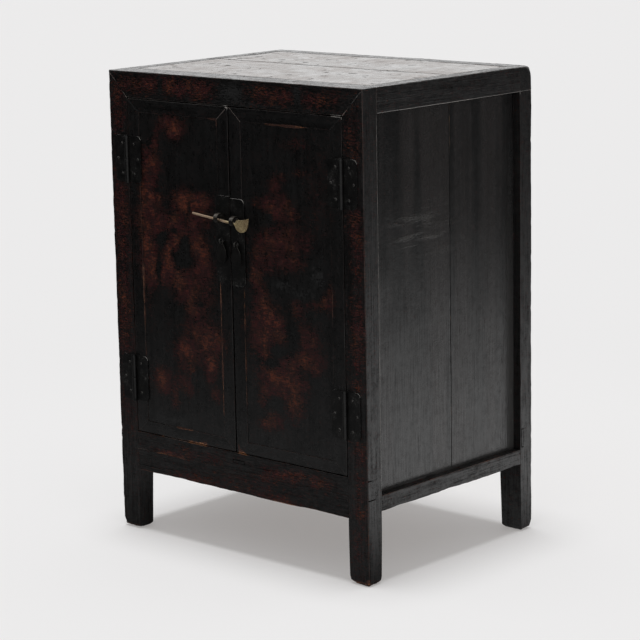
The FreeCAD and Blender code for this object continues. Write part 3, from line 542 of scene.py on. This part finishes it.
def material(name):
    """A new material and its emptied tree."""
    made = bpy.data.materials.new(name)
    return made, blank_shader(made)


def attribute(s, name, vector=False):
    """A value that was written on the points of the piece."""
    return s.node("ShaderNodeAttribute", {"attribute_name": name}, output=1 if vector else 2)


def coat_on(made, s, colour, roughness, height, depth_mm, metallic=0.0, dull=None):
    """Joins colour, roughness and relief of this depth in one surface, matt where dull is 1."""
    normal = s.node("ShaderNodeBump", {}, {"Strength": 1.0, "Distance": depth_mm * MM, "Height": height})
    shader = s.node("ShaderNodeBsdfPrincipled", {}, {"Base Color": colour, "Roughness": roughness,
                                                     "Metallic": metallic, "Normal": normal})
    if dull:
        matt = s.node("ShaderNodeBsdfDiffuse", {}, {"Color": colour, "Normal": normal})
        shader = s.node("ShaderNodeMixShader", {}, {0: dull, 1: shader, 2: matt})
    s.node("ShaderNodeOutputMaterial", {}, {0: shader})
    return made


# The colours of the lacquer, of the ground under it, of its worn arrises, and of joints, scratches and dust,
# some partly painted light.
film_black, worn_black, dust_and_light_grey = (0.0034, 0.0032, 0.0032), (0.0102, 0.0099, 0.0099), (0.034, 0.0325, 0.032)
gone_grey, stained_black = (0.0165, 0.016, 0.016), (0.015, 0.0058, 0.005)
red_ground, orange_ground = (0.037, 0.0048, 0.0052), (0.048, 0.0112, 0.0032)
dark_ground, hot_orange = (0.019, 0.0066, 0.0062), (0.105, 0.0195, 0.0058)
vein_brown, fleck_black = (0.0066, 0.0036, 0.0038), (0.0072, 0.0054, 0.0054)
arris_brown, arris_bare, arris_chalk_and_highlight = (0.055, 0.017, 0.009), (0.22, 0.085, 0.03), (0.3, 0.28, 0.26)
scratch_grey, seam_pale_and_lit, crack_black = (0.06, 0.054, 0.05), (0.26, 0.205, 0.18), (0.0016, 0.0014, 0.0012)
side_brown, recess_light_grey, scuff_grey = (0.032, 0.026, 0.0245), (0.06, 0.058, 0.056), (0.058, 0.054, 0.048)
chair_back_height = 0.568


def black_lacquer(name, relief_mm, low_dust_and_light=0.0, weathered=0.0, recessed=False, smooth=0.31, cracked=0.0,
                  dulled=0.25):
    """Black over red-brown, rubbed through in ragged patches and along the arrises, and paler low down:
    partly dust, partly painted light.
    """
    made, s = material(name)
    grain = attribute(s, "grain", True)
    place = s.node("ShaderNodeTexCoord", output=3)
    edge, seam, rubbed, handled = [attribute(s, key) for key in ("edge", "seam", "rubbed", "handled")]
    light, pale, greyed = [attribute(s, key) for key in ("light_seam", "pale", "greyed")]
    height = place.part(2)
    cloud = place.noise(20.0, 3.0, 0.6)
    mottle = place.noise(85.0, 4.0, 0.7)
    patina = place.noise(30.0, 5.0, 0.95)
    speck = place.noise(380.0, 3.0, 0.75)
    crazing = place.stretch((110.0, 110.0, 520.0)).noise(1.0, 3.0, 0.65)
    hue = place.stretch((34.0, 34.0, 26.0)).noise(1.0, 2.0, 0.6)
    fibre = grain.stretch((16.0, 460.0, 460.0)).noise(1.0, 3.0, 0.6)
    streak = grain.stretch((2.5, 95.0, 95.0)).noise(1.0, 3.0, 0.65)
    fine = ((speck - 0.5) * 1.5 + (crazing - 0.5) * 1.9) * (1 + 0.5 * cracked)
    through = rubbed + (cloud - 0.5) * 0.2 + (mottle - 0.5) * 0.55 + (patina - 0.5) * 0.5 + fine * 0.85
    black = (patina * 0.8 + streak * 0.5 + fine * 0.35).step(0.42, 0.9)
    black = black.mix(film_black, worn_black)
    film = (patina - 0.5) * 1.1 + (streak - 0.5) * 0.9 + fine * 0.7
    # Painted light: below half a metre the black is painted paler towards the floor, partly dust and partly
    # the floor's light.
    dust_and_low_light = height.step(0.5, 0.05) * low_dust_and_light * (0.9 + film * 2.2) + (film + 0.1).step(0.05, 0.45) * weathered
    black = dust_and_low_light.max(0.0).min(1.0).mix(black, dust_and_light_grey)
    grey = (greyed + (mottle - 0.5) * 1.3 + fine * 0.9).step(0.3, 0.8) * greyed.step(0.02, 0.3)
    black = grey.mix(black, gone_grey)
    stain = through.step(0.16, 0.46).mix(black, stained_black)
    ground = hue.step(0.42, 0.64).mix(red_ground, orange_ground)
    ground = (mottle * 0.6 + patina * 0.4 + fine * 0.7).step(0.28, 0.66).mix(dark_ground, ground)
    worn = through.step(0.34, 0.68)
    colour = worn.mix(stain, ground)
    hot = (rubbed + (mottle - 0.5) * 1.1 + (hue - 0.5) * 1.0 + fine * 1.1).step(0.8, 1.22)
    colour = (hot * 0.8).mix(colour, hot_orange)
    vein = (place.noise(42.0, 3.0, 0.6) - 0.5).size().step(0.034, 0.004)
    vein = vein * (0.3 + 0.7 * (speck + mottle).step(0.7, 1.1))
    colour = (vein * worn * 0.7).mix(colour, vein_brown)
    fleck = (crazing * 0.65 + speck * 0.35 + (patina - 0.5) * 0.3).step(0.47, 0.36) * worn
    colour = (fleck * 0.35).mix(colour, fleck_black)
    arris = handled * (0.4 + 2.2 * cloud.step(0.35, 0.7)) + (mottle - 0.5) * 1.6 * handled
    arris = (arris - edge).step(-0.25, 0.35) * handled.step(0.0, 0.05)
    colour = (arris * 0.8).mix(colour, arris_brown)
    bare = (handled * (0.1 + 0.9 * mottle.step(0.4, 0.66)) + (speck - 0.5) * 0.7 - edge).step(0.0, 0.35)
    colour = (bare * handled.step(0.0, 0.05) * 0.85).mix(colour, arris_bare)
    # Pale arrises: partly wear, partly a painted highlight where the arris catches the light.
    chalk_and_highlight = (pale * (0.45 + 1.1 * mottle) + (speck - 0.5) * 0.5 - edge).step(-0.1, 0.3) * pale.min(1.0)
    colour = chalk_and_highlight.mix(colour, arris_chalk_and_highlight)
    scratch = grain.stretch((30.0, 1100.0, 1100.0)).noise(1.0, 2.0, 0.5).step(0.7, 0.76)
    scratch = scratch * mottle.step(0.5, 0.62)
    colour = (scratch * 0.28).mix(colour, scratch_grey)
    # Pale seam lines: partly a worn arris, partly a painted highlight where the mitre's arris catches the
    # light.
    light_line = (seam + (speck - 0.5) * 0.7).step(0.62, 0.15) * light * (0.35 + mottle)
    colour = light_line.min(1.0).mix(colour, seam_pale_and_lit)
    dark_line = (seam + (speck - 0.5) * 0.3).step(0.5, 0.1) * (1 - 4 * light).max(0.0)
    dark_line = dark_line.max(attribute(s, "mark").step(0.1, 0.5) * (0.5 + mottle).step(0.7, 0.9))
    crack = grain.stretch((4.0, 260.0, 260.0)).noise(1.0, 2.0, 0.55).step(0.66, 0.76) * cloud.step(0.42, 0.58)
    crack = crack * min(1.0, cracked)
    dark = dark_line.max(crack * 0.7)
    gloss_lost = (0.09 + (speck - 0.5) * 0.9 + (fibre - 0.5) * 1.1 + (mottle - 0.5) * 0.8) * dulled
    gloss_lost = gloss_lost + crack * 0.4 + dark * 0.7
    colour = (dark * 0.85).mix(colour, crack_black)
    roughness = (smooth + 0.2 * (mottle - 0.5) + 0.08 * worn + 0.2 * arris + 0.26 * (fibre - 0.5)
                 + 0.08 * (speck - 0.5) + 0.08 * (patina - 0.5) + 0.5 * dark).max(0.85 * smooth)
    relief = (fibre * 0.9 + mottle * 0.6 + streak * 0.8 - worn * 0.15 + speck * 0.14 + crazing * 0.14
              + patina * 0.12 - dark_line * 1.2)
    if recessed:
        y = place.part(1)
        tint = grain.stretch((0.9, 24.0, 24.0)).noise(1.0, 2.0, 0.5)
        colour = (tint.step(0.44, 0.6) * 0.36).mix(colour, side_brown)
        roughness = roughness + (tint - 0.5) * 0.25
        # Painted light: the panel is painted paler beside the rear post and just above the bottom rail, where
        # the recess shades it, more so lower down.
        recess_painted_light = y.step(0.166, 0.188) * (0.5 + 0.6 * mottle) * (height.step(0.75, 0.25) * 0.8 + 0.1)
        recess_painted_light = recess_painted_light.max(height.step(0.165, 0.148) * (0.35 + 0.4 * mottle))
        colour = recess_painted_light.min(1.0).mix(colour, recess_light_grey)
        gloss_lost = gloss_lost + recess_painted_light * 0.35
        smudge = place.stretch((60.0, 13.0, 70.0)).noise(1.0, 4.0, 0.6).step(0.5, 0.7)
        stroke = place.stretch((60.0, 9.0, 210.0)).noise(1.0, 3.0, 0.55).step(0.58, 0.7)
        from_band = (height - chair_back_height) * 19.0
        band = (1 - from_band * from_band).max(0.0) * y.step(0.06, 0.0) * y.step(-0.15, -0.09)
        scuffed = band * smudge.max(stroke) + 0.16 * stroke * cloud.step(0.5, 0.7)
        scuffed = scuffed * (fine * 1.6 + 0.9).max(0.2).min(1.2)
        colour = (scuffed * 0.36).mix(colour, scuff_grey)
        relief = relief + scuffed * 0.4
    return coat_on(made, s, colour, roughness, relief, relief_mm, dull=gloss_lost.max(0.0).min(1.0))


def old_wood(name, dark, light, grime):
    """Wood left bare inside and behind, browned by air and dust."""
    made, s = material(name)
    grain = attribute(s, "grain", True)
    place = s.node("ShaderNodeTexCoord", output=3)
    edge = attribute(s, "edge")
    cloud = place.noise(9.0, 4.0, 0.6)
    mottle = place.noise(70.0, 4.0, 0.6)
    rings = grain.stretch((1.1, 34.0, 34.0)).noise(1.0, 4.0, 0.62)
    late = (grain.stretch((0.8, 52.0, 52.0)).noise(1.0, 3.0, 0.5) - 0.5).size().step(0.05, 0.0)
    fibre = grain.stretch((9.0, 520.0, 520.0)).noise(1.0, 3.0, 0.6)
    tone = rings * 1.1 + fibre * 0.4 + (cloud - 0.5) * 0.6 - late * 0.13
    colour = tone.step(0.45, 1.02).mix(dark, light)
    dirt = (cloud + (mottle - 0.5) * 0.6).step(0.5, 0.75)
    colour = (dirt * 0.55).mix(colour, grime)
    colour = ((edge + (mottle - 0.5) * 2.0).step(1.4, 0.2) * 0.35).mix(colour, light)
    roughness = 0.62 + 0.2 * (fibre - 0.5) + 0.1 * dirt
    return coat_on(made, s, colour, roughness, fibre * 0.7 + rings * 0.4 + mottle * 0.3, 0.22)


bare_wood = old_wood("bare_wood", (0.07, 0.039, 0.022), (0.2, 0.122, 0.068), (0.05, 0.034, 0.024))
lacquer = black_lacquer("black_lacquer", 0.15, low_dust_and_light=0.12)
weathered_lacquer = black_lacquer("weathered_lacquer", 0.4, weathered=0.27, smooth=0.33, cracked=1.0,
                                  dulled=1.7)
checked_lacquer = black_lacquer("checked_lacquer", 0.5, weathered=0.42, smooth=0.33, cracked=1.0, dulled=2.2)
foot_height = 16.0


def foot_round(points):
    """Arrises of the posts' own faces, in mm: crisp in the frame, round at the sole."""
    return 0.7 + 11.0 * np.clip(1 - points[:, 2] / foot_height, 0, 1)


def post_round(points):
    """Outer arrises, in mm: rounder at the feet and where a splinter has gone from the rear right post."""
    radius = 2.0 + 10.5 * np.clip(1 - points[:, 2] / foot_height, 0, 1)
    splinter = np.exp(-((points[:, 2] - 352.0) / 20.0) ** 2)
    return radius + 2.5 * splinter * (points[:, 0] > 280) * (points[:, 1] > 0)


def rear_post_inside(normal, middle):
    """The rear posts' faces inside the cabinet, which were never lacquered."""
    return abs(middle.x) < 270 and middle.y < 217 and 175 < middle.z < 790


for side, sign in (("left", -1), ("right", 1)):
    x = sorted((sign * front_post_in_x, sign * side_x))
    mitre_seams = [((sign * front_post_in_x, 0, front_rail_under_z), (sign * slant, 0, -slant), 0.9)]
    timber("front_" + side + "_post", "carcass", 2, (x, (front_y, front_post_back_y), (0.0, None)),
           weathered_lacquer, cell=6.5, round_mm=foot_round, case_round=post_round, seams=mitre_seams,
           marks=[(None, (-207.0, -190.0), (145.0, 178.0))])
    x = sorted((sign * rear_post_in_x, sign * side_x))
    timber("rear_" + side + "_post", "carcass", 2, (x, (rear_post_front_y, back_y), (0.0, None)),
           weathered_lacquer, cell=6.5, round_mm=foot_round, case_round=post_round,
           seams=[((0, 0, side_rail_under_z), (0, 0, -1), 0.0)],
           marks=[(None, (200.0, 214.0), (152.0, 184.0))], raw=rear_post_inside)


# The top frame: a front rail mitred to the front posts, two side rails butted between the posts, and a rear
# rail laid over the rear posts, all flush outside and grooved inside for the top's boards.
side_rail_in_x = 263.0
timber("top_front_rail", "carcass", 0, ((None, None), (front_y, -161.5), (front_rail_under_z, top_z)),
       weathered_lacquer, cell=7.0, round_mm=0.6, case_round=1.8,
       seams=[((sign * front_post_in_x, 0, front_rail_under_z), (-sign * slant, 0, slant), 0.9)
              for sign in (-1, 1)])
for side, sign in (("left", -1), ("right", 1)):
    x = sorted((sign * side_rail_in_x, sign * side_x))
    timber("top_" + side + "_rail", "carcass", 1, (x, (None, None), (side_rail_under_z, top_z)),
           checked_lacquer, cell=7.0,
           seams=[((0, front_post_back_y, 0), (0, 1, 0), 0.35), ((0, rear_post_front_y, 0), (0, -1, 0), 0.0)])


def rear_corner(points):
    """The rear right corner of the top is knocked round."""
    far = np.linalg.norm(points - np.array((side_x, back_y, top_z)), axis=1)
    return 2.2 + 5.0 * np.exp(-(far / 11.0) ** 2)


timber("top_rear_rail", "carcass", 0,
       ((-side_x, side_x), (rear_post_front_y, back_y), (side_rail_under_z, top_z)), weathered_lacquer,
       cell=7.0, round_mm=1.2, case_round=rear_corner)


# The top's two boards, flush with the frame, their tongues held in its grooves so that they can swell and
# shrink. Dust and polish have greyed the lacquer there, and its pores and board ends have opened.
top_brown, top_grey, top_rubbed = (0.012, 0.0072, 0.0046), (0.088, 0.063, 0.05), (0.07, 0.043, 0.03)
pore_black = (0.0035, 0.003, 0.0028)


def top_lacquer():
    """Lacquer gone brown and grey along the grain, with open pores and board ends."""
    made, s = material("top_lacquer")
    grain = attribute(s, "grain", True)
    place = s.node("ShaderNodeTexCoord", output=3)
    edge = attribute(s, "edge")
    cloud = place.noise(11.0, 3.0, 0.55)
    mottle = place.noise(70.0, 4.0, 0.6)
    fibre = grain.stretch((7.0, 330.0, 330.0)).noise(1.0, 3.0, 0.6)
    streak = grain.stretch((2.0, 60.0, 60.0)).noise(1.0, 3.0, 0.6)
    pore = grain.stretch((11.0, 240.0, 240.0)).noise(1.0, 2.0, 0.5).step(0.66, 0.74) * mottle.step(0.48, 0.6)
    patina = place.noise(24.0, 5.0, 0.75)
    open_end = (edge + (mottle - 0.5) * 4.5 + (cloud - 0.5) * 3.0).step(2.7, 1.2)
    spot = place.stretch((60.0, 40.0, 40.0)).noise(1.0, 3.0, 0.6).step(0.62, 0.7)
    tone = (cloud * 0.45 + streak * 0.55 + fibre * 0.25 + patina * 1.25).step(0.96, 1.46)
    colour = tone.mix(top_brown, top_grey)
    worn = (cloud + (patina - 0.5) * 1.2 + (streak - 0.5) * 0.6).step(0.62, 0.86)
    colour = (worn * 0.4).mix(colour, top_rubbed)
    dark = pore.max(open_end).max(spot * 0.8)
    colour = dark.mix(colour, pore_black)
    roughness = 0.27 + 0.2 * (mottle - 0.5) + 0.3 * (patina - 0.5) + 0.3 * dark
    gloss_lost = 0.09 + (patina - 0.5) * 0.5 + (cloud - 0.5) * 0.35 + (streak - 0.5) * 0.3 + dark * 0.45
    relief = fibre * 0.4 + streak * 0.4 + patina * 0.4 - dark * 0.8
    return coat_on(made, s, colour, roughness, relief, 0.16, dull=gloss_lost.max(0.0).min(1.0))


def board_joints(points):
    """How far the boards' arrises have worn open along their joints, in mm."""
    x, y = points[:, 0], points[:, 1]
    open_mm = np.where(y < -150, 1.9, np.where(y > 190, 1.5, np.where(x > -20, 2.3, 0.8)))
    ends = np.where(x > 0, 2.6, np.where(y > 10, 2.8, 0.9))
    return np.where(np.abs(x) > 255, ends, open_mm)


top_finish = top_lacquer()
board_side_x, board_front_y, board_back_y, board_under_z = 262.7, -161.2, 196.2, 798.0
for node in ("top_board_front", "top_board_rear"):
    low, high = [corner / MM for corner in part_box(node)]
    y = (board_front_y, high[1]) if node.endswith("front") else (low[1], board_back_y)
    timber(node, "carcass", 0, ((-board_side_x, board_side_x), y, (board_under_z, top_z)), top_finish,
           round_mm=board_joints, uneven=0.5)


# The bottom frame: a sill with an apron board under it in front, a rail at each side and one behind.
# The lower arrises were never straight and have been knocked by feet.
lower_arris = 9.0
sill_under_z, apron_under_z, rear_rail_under_z = 148.0, 109.0, 150.0
low_rail_under_z, low_rail_top_z = 120.0, 148.0


def wavy(low, rise=0.5):
    """A lower arris that has worn away unevenly along the rail, by rise in mm on average."""
    def shape(points, start):
        for i in np.nonzero(start[:, 2] < low + lower_arris)[0]:
            share = 1 - (start[i, 2] - low) / lower_arris
            place = Vector((start[i, 0], start[i, 1], 0))
            drift = noise.noise(place * 0.012 + Vector((0, 0, 3)))
            drift += 0.5 * noise.noise(place * 0.05 + Vector((0, 0, 8)))
            points[i, 2] += max(0.0, rise + 1.6 * drift) * share
    return shape


post_seams = [((-front_post_in_x, 0, 0), (1, 0, 0), 0.0), ((front_post_in_x, 0, 0), (-1, 0, 0), 0.0)]
timber("bottom_front_rail", "carcass", 0, ((None, None), (front_y, -175.5), (sill_under_z, 179.0)),
       weathered_lacquer, cell=7.0, round_mm=0.7, seams=post_seams,
       marks=[((-14.0, 13.0), None, (160.0, 166.0))])
timber("front_apron", "carcass", 0, ((None, None), (front_y, -195.5), (apron_under_z, sill_under_z)),
       weathered_lacquer, cell=7.0, round_mm=0.8, shape=wavy(apron_under_z), seams=post_seams)
for side, sign in (("left", -1), ("right", 1)):
    x = sorted((sign * side_rail_in_x, sign * side_x))
    timber("bottom_" + side + "_rail", "carcass", 1, (x, (None, None), (low_rail_under_z, low_rail_top_z)),
           checked_lacquer, cell=7.0, round_mm=1.6, shape=wavy(low_rail_under_z, 1.2), rub=0.5,
           seams=[((0, front_post_back_y, 0), (0, 1, 0), 0.0), ((0, rear_post_front_y, 0), (0, -1, 0), 0.0)])
timber("bottom_rear_rail", "carcass", 0, ((None, None), (198.5, back_y), (rear_rail_under_z, 186.0)),
       weathered_lacquer, round_mm=1.0, shape=wavy(rear_rail_under_z))


# The sides: two upright boards each, 8 mm thick, set 15 mm back in grooves in the posts and rails.
# Brushed lacquer that has sunk into the grain, scuffed across at the height of a chair's back.
# Its low paleness is partly painted light, and its recess is painted paler beside the rear posts and above
# the bottom rails.
side_finish = black_lacquer("side_lacquer", 0.34, low_dust_and_light=0.3, weathered=0.28, recessed=True, smooth=0.21,
                            cracked=0.14, dulled=0.95)
board_joint_y = 25.5


def side_inside(normal, middle):
    """The boards' faces inside the cabinet, which were never lacquered."""
    return normal.x * middle.x < 0 and abs(normal.x) > 0.7


for side in ("left", "right"):
    for place in ("front", "rear"):
        node = side + "_side_board_" + place
        low, high = [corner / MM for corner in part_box(node)]
        joint, way, y = (high[1], -1, (None, high[1])) if place == "front" else (low[1], 1, (low[1], None))
        timber(node, "carcass", 2, ((low[0], high[0]), y, (None, None)), side_finish, round_mm=1.2,
               uneven=0.6, raw=side_inside, outer=no_case, seams=[((0, board_joint_y, 0), (0, way, 0), 0.0)],
               rub=0.0, meets=[(1, joint)])


# The back: three upright boards of plain old wood in grooves between the rear posts and rails.
for place in ("left", "middle", "right"):
    node = "back_board_" + place
    low, high = [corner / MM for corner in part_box(node)]
    x = {"left": (None, high[0]), "middle": (low[0], high[0]), "right": (low[0], None)}[place]
    timber(node, "carcass", 2, (x, (low[1], high[1]), (None, None)), bare_wood, cell=14.0, round_mm=0.8,
           uneven=0.5, outer=no_case, meets=[(0, face) for face in x if face is not None])


# Inside: floor boards on bearers, a shelf on battens, and battens across the back and under the top.
for node, along in (("floor_board_front", 0), ("floor_board_rear", 0), ("shelf_board", 0),
                    ("back_batten", 0), ("top_batten", 1), ("left_side_batten", 1),
                    ("right_side_batten", 1), ("floor_bearers", 1)):
    low, high = [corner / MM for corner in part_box(node)]
    faces = [(low[0], high[0]), (low[1], high[1]), (low[2], high[2])]
    if "board" not in node:
        faces[along] = (None, None)
    if node == "top_batten":
        faces[2] = (780.0, board_under_z)
    timber(node, "carcass", along, tuple(faces), bare_wood, cell=18.0, round_mm=1.0,
           uneven=0.0 if node == "floor_bearers" else 0.3, outer=no_case)


# The doors: stiles and rails mitred round a panel that lies nearly flush, with a batten across behind.
# The red ground shows in big ragged patches where the black has been handled away.
door_y, door_z, panel_z, frame_back_y = (front_y, -187.5), (180.5, 765.5), (201.0, 743.0), -198.6
panel_y, stile_width, door_middle_z = (-206.7, -198.7), 26.0, 472


def corner_seam(stile, rail, up, light):
    """The mitred joint where a stile's and a rail's outer edges meet, for the piece above it or below it."""
    run = Vector((stile[1] - stile[0], 0, rail[1] - rail[0])).normalized()
    normal = Vector((run.z, 0, -run.x))
    return ((stile[0], 0, rail[0]), tuple(normal if normal.z * up > 0 else -normal), light)


for side, span, sign in (("left", (-244.5, -6.5), -1), ("right", (-3.5, 244.5), 1)):
    body = side + "_door"
    leaf = (span, door_y, door_z)
    hinge_edge, meet_edge = span if sign < 0 else span[::-1]
    hinge_stile = (hinge_edge, hinge_edge - sign * stile_width)
    meeting_stile = (meet_edge, meet_edge + sign * stile_width)
    head, foot = (door_z[1], panel_z[1]), (door_z[0], panel_z[0])
    pieces = {"hinge_stile": (2, (sorted(hinge_stile), door_y, (None, None)), hinge_stile),
              "meeting_stile": (2, (sorted(meeting_stile), door_y, (None, None)), meeting_stile),
              "top_rail": (0, ((None, None), door_y, head[::-1]), head),
              "bottom_rail": (0, ((None, None), door_y, foot), foot)}
    panel_x = sorted((hinge_stile[1], meeting_stile[1]))

    def bare_behind(normal, middle):
        """The door's back and the edges in the frame's rebate, which were never lacquered."""
        inside = (panel_x[0] - 0.5 < middle.x < panel_x[1] + 0.5
                  and panel_z[0] - 0.5 < middle.z < panel_z[1] + 0.5)
        return normal.y > 0.7 or (inside and middle.y > frame_back_y)

    for name, (along, faces, span_across) in pieces.items():
        seams = []
        for stile, light_top in ((hinge_stile, 0.05), (meeting_stile, 0.5)):
            for rail, light in ((head, light_top), (foot, 0.12)):
                if span_across in (stile, rail):
                    up = rail[0] - door_middle_z if span_across == rail else door_middle_z - rail[0]
                    seams.append(corner_seam(stile, rail, up, light))
        timber(body + "_" + name, body, along, faces, lacquer, cell=6.0, round_mm=0.55, outer=leaf,
               case_round=0.9, seams=seams, rub=0.1, raw=bare_behind)
    wide, tall = [(start + half_joint, end - half_joint) for start, end in (panel_x, panel_z)]
    timber(body + "_panel", body, 2, (wide, panel_y, tall), lacquer, cell=4.5, round_mm=0.45, outer=no_case,
           uneven=0.3, rub=0.1, raw=bare_behind)
    low, high = [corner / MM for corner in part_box(body + "_batten")]
    timber(body + "_batten", body, 0, ((None, None), (panel_y[1], door_y[1]), (low[2], high[2])), bare_wood,
           cell=12.0, round_mm=1.0, outer=no_case)


# The hinges: each a pair of hand-cut iron leaves with a rolled barrel, a pin through both, and round-headed
# # nails. The leaves' arrises are filed and painted bright, partly rubbed metal and partly a painted
# highlight on the edges that face up; their barrels are left dark.
# In metres: the barrels' axis and radius, and the area of a face wide enough for a filed rim.
hinge_x, barrel_radius, wide_area = 0.24525, 0.0044, 40e-6
flat_rim_mm, uncut = 0.7, 400.0


def forged(node, body, finish, bevel_mm=0.4, cell=5.0, dent_mm=0.06):
    """Metalwork made from the model's own solid: its arrises filed, its faces left uneven by the hammer."""
    mesh, bm = model_solid(node, node + "_metal")
    sharp = [e for e in bm.edges if len(e.link_faces) == 2 and e.calc_face_angle(0) > math.radians(35)]
    rim = set()
    if bevel_mm:
        made = bmesh.ops.bevel(bm, geom=sharp, offset=bevel_mm * MM, offset_type="OFFSET", segments=2,
                               profile=0.5, affect="EDGES", clamp_overlap=True, material=-1)
        bm.verts.index_update()
        rim = {v.index for v in made["verts"] if v.is_valid}
    bm.normal_update()
    tag = bm.verts.layers.float.new("edge")
    for v in bm.verts:
        barrel = "hinge" in node and abs(abs(v.co.x) - hinge_x) < barrel_radius
        # Painted highlight: rims that face up get the lowest value and so the brightest rubbed colour; rims
        # facing sideways or down stay darker.
        v[tag] = (0.0 if v.normal.z > 0.25 else 1.1) if v.index in rim and not barrel else 4.0
    wide = [f for f in bm.faces if f.calc_area() > wide_area]
    if wide:
        bmesh.ops.inset_region(bm, faces=wide, thickness=flat_rim_mm * MM, use_even_offset=True,
                               use_boundary=True)
        for v in {v for f in wide if f.is_valid for v in f.verts}:
            v[tag] = 1.2
    low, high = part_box(node)
    for axis in (0, 2):
        normal = Vector((axis == 0, 0, axis == 2))
        count = int((high[axis] - low[axis]) / (cell * MM))
        for place in range(1, count):
            cut_at = low[axis] + (high[axis] - low[axis]) * place / count
            bmesh.ops.bisect_plane(bm, geom=bm.verts[:] + bm.edges[:] + bm.faces[:], dist=1e-7,
                                   plane_co=normal * cut_at, plane_no=normal)
    for v in bm.verts:
        v.co.y = min(high[1], max(low[1], v.co.y + dent_mm * MM * noise.noise(v.co / MM * 0.16)))
    bmesh.ops.dissolve_degenerate(bm, dist=1e-6, edges=bm.edges[:])
    fit_piece(mesh, bm, node, body, (finish,), 40)


def old_metal(name, body_tone, tarnish, rubbed_and_lit_tone, rough, worn, metallic, shank=None):
    """Metal gone dark with age, with its first colour back on the rubbed edges, brightest on edges that face
    up as a painted highlight.
    """
    made, s = material(name)
    place = s.node("ShaderNodeTexCoord", output=3)
    edge = attribute(s, "edge")
    cloud = place.noise(60.0, 4.0, 0.6)
    pit = place.noise(420.0, 4.0, 0.6)
    colour = (cloud * 0.7 + pit * 0.5).step(0.42, 0.78).mix(body_tone, tarnish)
    if shank:
        along_shank = place.part(0).step(0.006, -0.012)
        colour = (along_shank * (0.6 + 0.6 * cloud)).min(1.0).mix(colour, shank)
    bright = (edge + (pit - 0.5) * 1.6 - cloud * 0.8).step(worn, worn - 1.2)
    colour = (bright * 0.85).mix(colour, rubbed_and_lit_tone)
    roughness = rough + 0.2 * (pit - 0.5) + 0.16 * (cloud - 0.5) - 0.08 * bright
    return coat_on(made, s, colour, roughness, pit * 0.5 + cloud * 0.5, 0.08, metallic)


iron = old_metal("dark_iron", (0.0085, 0.0084, 0.0084), (0.0155, 0.0148, 0.0142), (0.42, 0.4, 0.38),
                 rough=0.33, worn=0.75, metallic=0.5)
nail_iron = old_metal("nail_iron", (0.036, 0.034, 0.032), (0.02, 0.018, 0.017), (0.1, 0.095, 0.09),
                      rough=0.3, worn=4.0, metallic=0.7)
for node, body in (("post_hinge_leaves", "carcass"), ("left_door_hinge_leaves", "left_door"),
                   ("right_door_hinge_leaves", "right_door")):
    forged(node, body, iron)
forged("hinge_pins", "carcass", iron, bevel_mm=0.15, cell=uncut, dent_mm=0.0)
for node, body in (("post_hinge_nails", "carcass"), ("left_door_hinge_nails", "left_door"),
                   ("right_door_hinge_nails", "right_door")):
    forged(node, body, nail_iron, bevel_mm=0.0, cell=uncut, dent_mm=0.0)


# The lock: two plates, a long strap eye on each, and a brass pin with a half-moon head that lies loose in
# both. Under it hang two small leaf-shaped pulls, each on its own eye.
brass = old_metal("old_brass", (0.55, 0.44, 0.24), (0.25, 0.17, 0.085), (0.7, 0.58, 0.37),
                  rough=0.4, worn=0.9, metallic=0.55, shank=(0.43, 0.305, 0.21))
bronze = old_metal("dark_bronze", (0.013, 0.0118, 0.0105), (0.026, 0.022, 0.018), (0.12, 0.106, 0.09),
                   rough=0.38, worn=0.4, metallic=0.5)
dark_brass = old_metal("blackened_brass", (0.0088, 0.0086, 0.0084), (0.017, 0.0155, 0.0145),
                       (0.1, 0.092, 0.08), rough=0.36, worn=0.5, metallic=0.5)
for side in ("left", "right"):
    forged(side + "_lock_plate", side + "_door", iron)
    forged(side + "_lock_eye", side + "_door", bronze, bevel_mm=0.35, cell=4.0, dent_mm=0.05)
    forged(side + "_pull_eye", side + "_door", nail_iron, bevel_mm=0.2, cell=uncut, dent_mm=0.0)
    forged(side + "_pull", side + "_pull", dark_brass, bevel_mm=0.25, cell=3.0, dent_mm=0.1)
forged("lock_pin", "lock_pin", brass, bevel_mm=0.3, cell=uncut, dent_mm=0.0)
